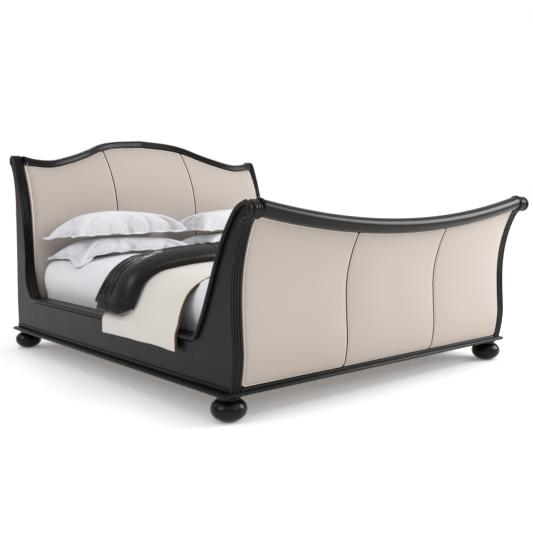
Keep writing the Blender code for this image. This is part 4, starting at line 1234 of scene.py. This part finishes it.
def makeStage():
    data = bpy.data.meshes.new("floor")
    size = 40.0
    corners = [(-size, -size, 0), (size, -size, 0), (size, size, 0), (-size, size, 0)]
    data.from_pydata(corners, [], [(0, 1, 2, 3)])
    data.materials.append(looks["floor"])
    floor = bpy.data.objects.new("floor", data)
    scene.collection.objects.link(floor)
    world = bpy.data.worlds.new("softStudio")
    scene.world = world
    world.use_nodes = True
    tree = world.node_tree
    backdrop = tree.nodes["Background"]
    backdrop.inputs["Color"].default_value = (1.0, 1.0, 1.0, 1.0)
    # The backdrop is seen as plain white, and lights the bed as a soft box that is brighter overhead
    lit = tree.nodes.new("ShaderNodeBackground")
    where = tree.nodes.new("ShaderNodeTexCoord")
    split = tree.nodes.new("ShaderNodeSeparateXYZ")
    ramp = tree.nodes.new("ShaderNodeValToRGB")
    ramp.color_ramp.elements[0].color = (light["horizon"],) * 3 + (1.0,)
    ramp.color_ramp.elements[1].color = (light["zenith"],) * 3 + (1.0,)
    ramp.color_ramp.elements[0].position = 0.05
    ramp.color_ramp.elements[1].position = 0.75
    seen = tree.nodes.new("ShaderNodeLightPath")
    mix = tree.nodes.new("ShaderNodeMixShader")
    tree.links.new(where.outputs["Generated"], split.inputs[0])
    tree.links.new(split.outputs[2], ramp.inputs[0])
    tree.links.new(ramp.outputs[0], lit.inputs["Color"])
    tree.links.new(seen.outputs["Is Camera Ray"], mix.inputs[0])
    tree.links.new(lit.outputs[0], mix.inputs[1])
    tree.links.new(backdrop.outputs[0], mix.inputs[2])
    tree.links.new(mix.outputs[0], tree.nodes["World Output"].inputs["Surface"])
    for name, towards, strength, spread in light["suns"]:
        lamp = bpy.data.lights.new(name, "SUN")
        lamp.energy = strength
        lamp.angle = math.radians(spread)
        holder = bpy.data.objects.new(name, lamp)
        holder.rotation_mode = "QUATERNION"
        holder.rotation_quaternion = Vector(towards).to_track_quat("Z", "Y")
        scene.collection.objects.link(holder)


def makeSoftBox():
    # A soft box at the right, nearer to that side, so the boards grow brighter towards it
    lamp = bpy.data.lights.new("softBox", "AREA")
    lamp.size = light["boxSize"]
    lamp.energy = light["boxPower"]
    holder = bpy.data.objects.new("softBox", lamp)
    holder.location = light["boxPlace"]
    holder.rotation_mode = "QUATERNION"
    holder.rotation_quaternion = (Vector((0.0, 0.0, 0.7)) - holder.location).to_track_quat("-Z", "Y")
    scene.collection.objects.link(holder)


def makeCamera():
    # The camera looks along yaw and pitch, and roll turns its right and up about that line
    yaw, pitch, roll = view["yaw"], view["pitch"], view["roll"]
    look = Vector((math.sin(yaw) * math.cos(pitch), math.cos(yaw) * math.cos(pitch), -math.sin(pitch)))
    right = Vector((math.cos(yaw), -math.sin(yaw), 0.0))
    up = right.cross(look)
    tiltedRight = right * math.cos(roll) + up * math.sin(roll)
    tiltedUp = up * math.cos(roll) - right * math.sin(roll)
    data = bpy.data.cameras.new("photographer")
    data.sensor_width = view["sensor"]
    data.lens = view["lens"]
    camera = bpy.data.objects.new("photographer", data)
    turn = Matrix((tiltedRight, tiltedUp, -look)).transposed().to_4x4()
    turn.translation = Vector(view["place"])
    camera.matrix_world = turn
    scene.collection.objects.link(camera)
    scene.camera = camera


makeCamera()
makeStage()
makeSoftBox()
makeBase()
print("base made")
makeFootboard()
print("footboard made")
makeHeadboard()
print("headboard made")
makeMattress()
makePillows()
makeThrow()
makeRunner()
print("bedding made")
finishNodes()
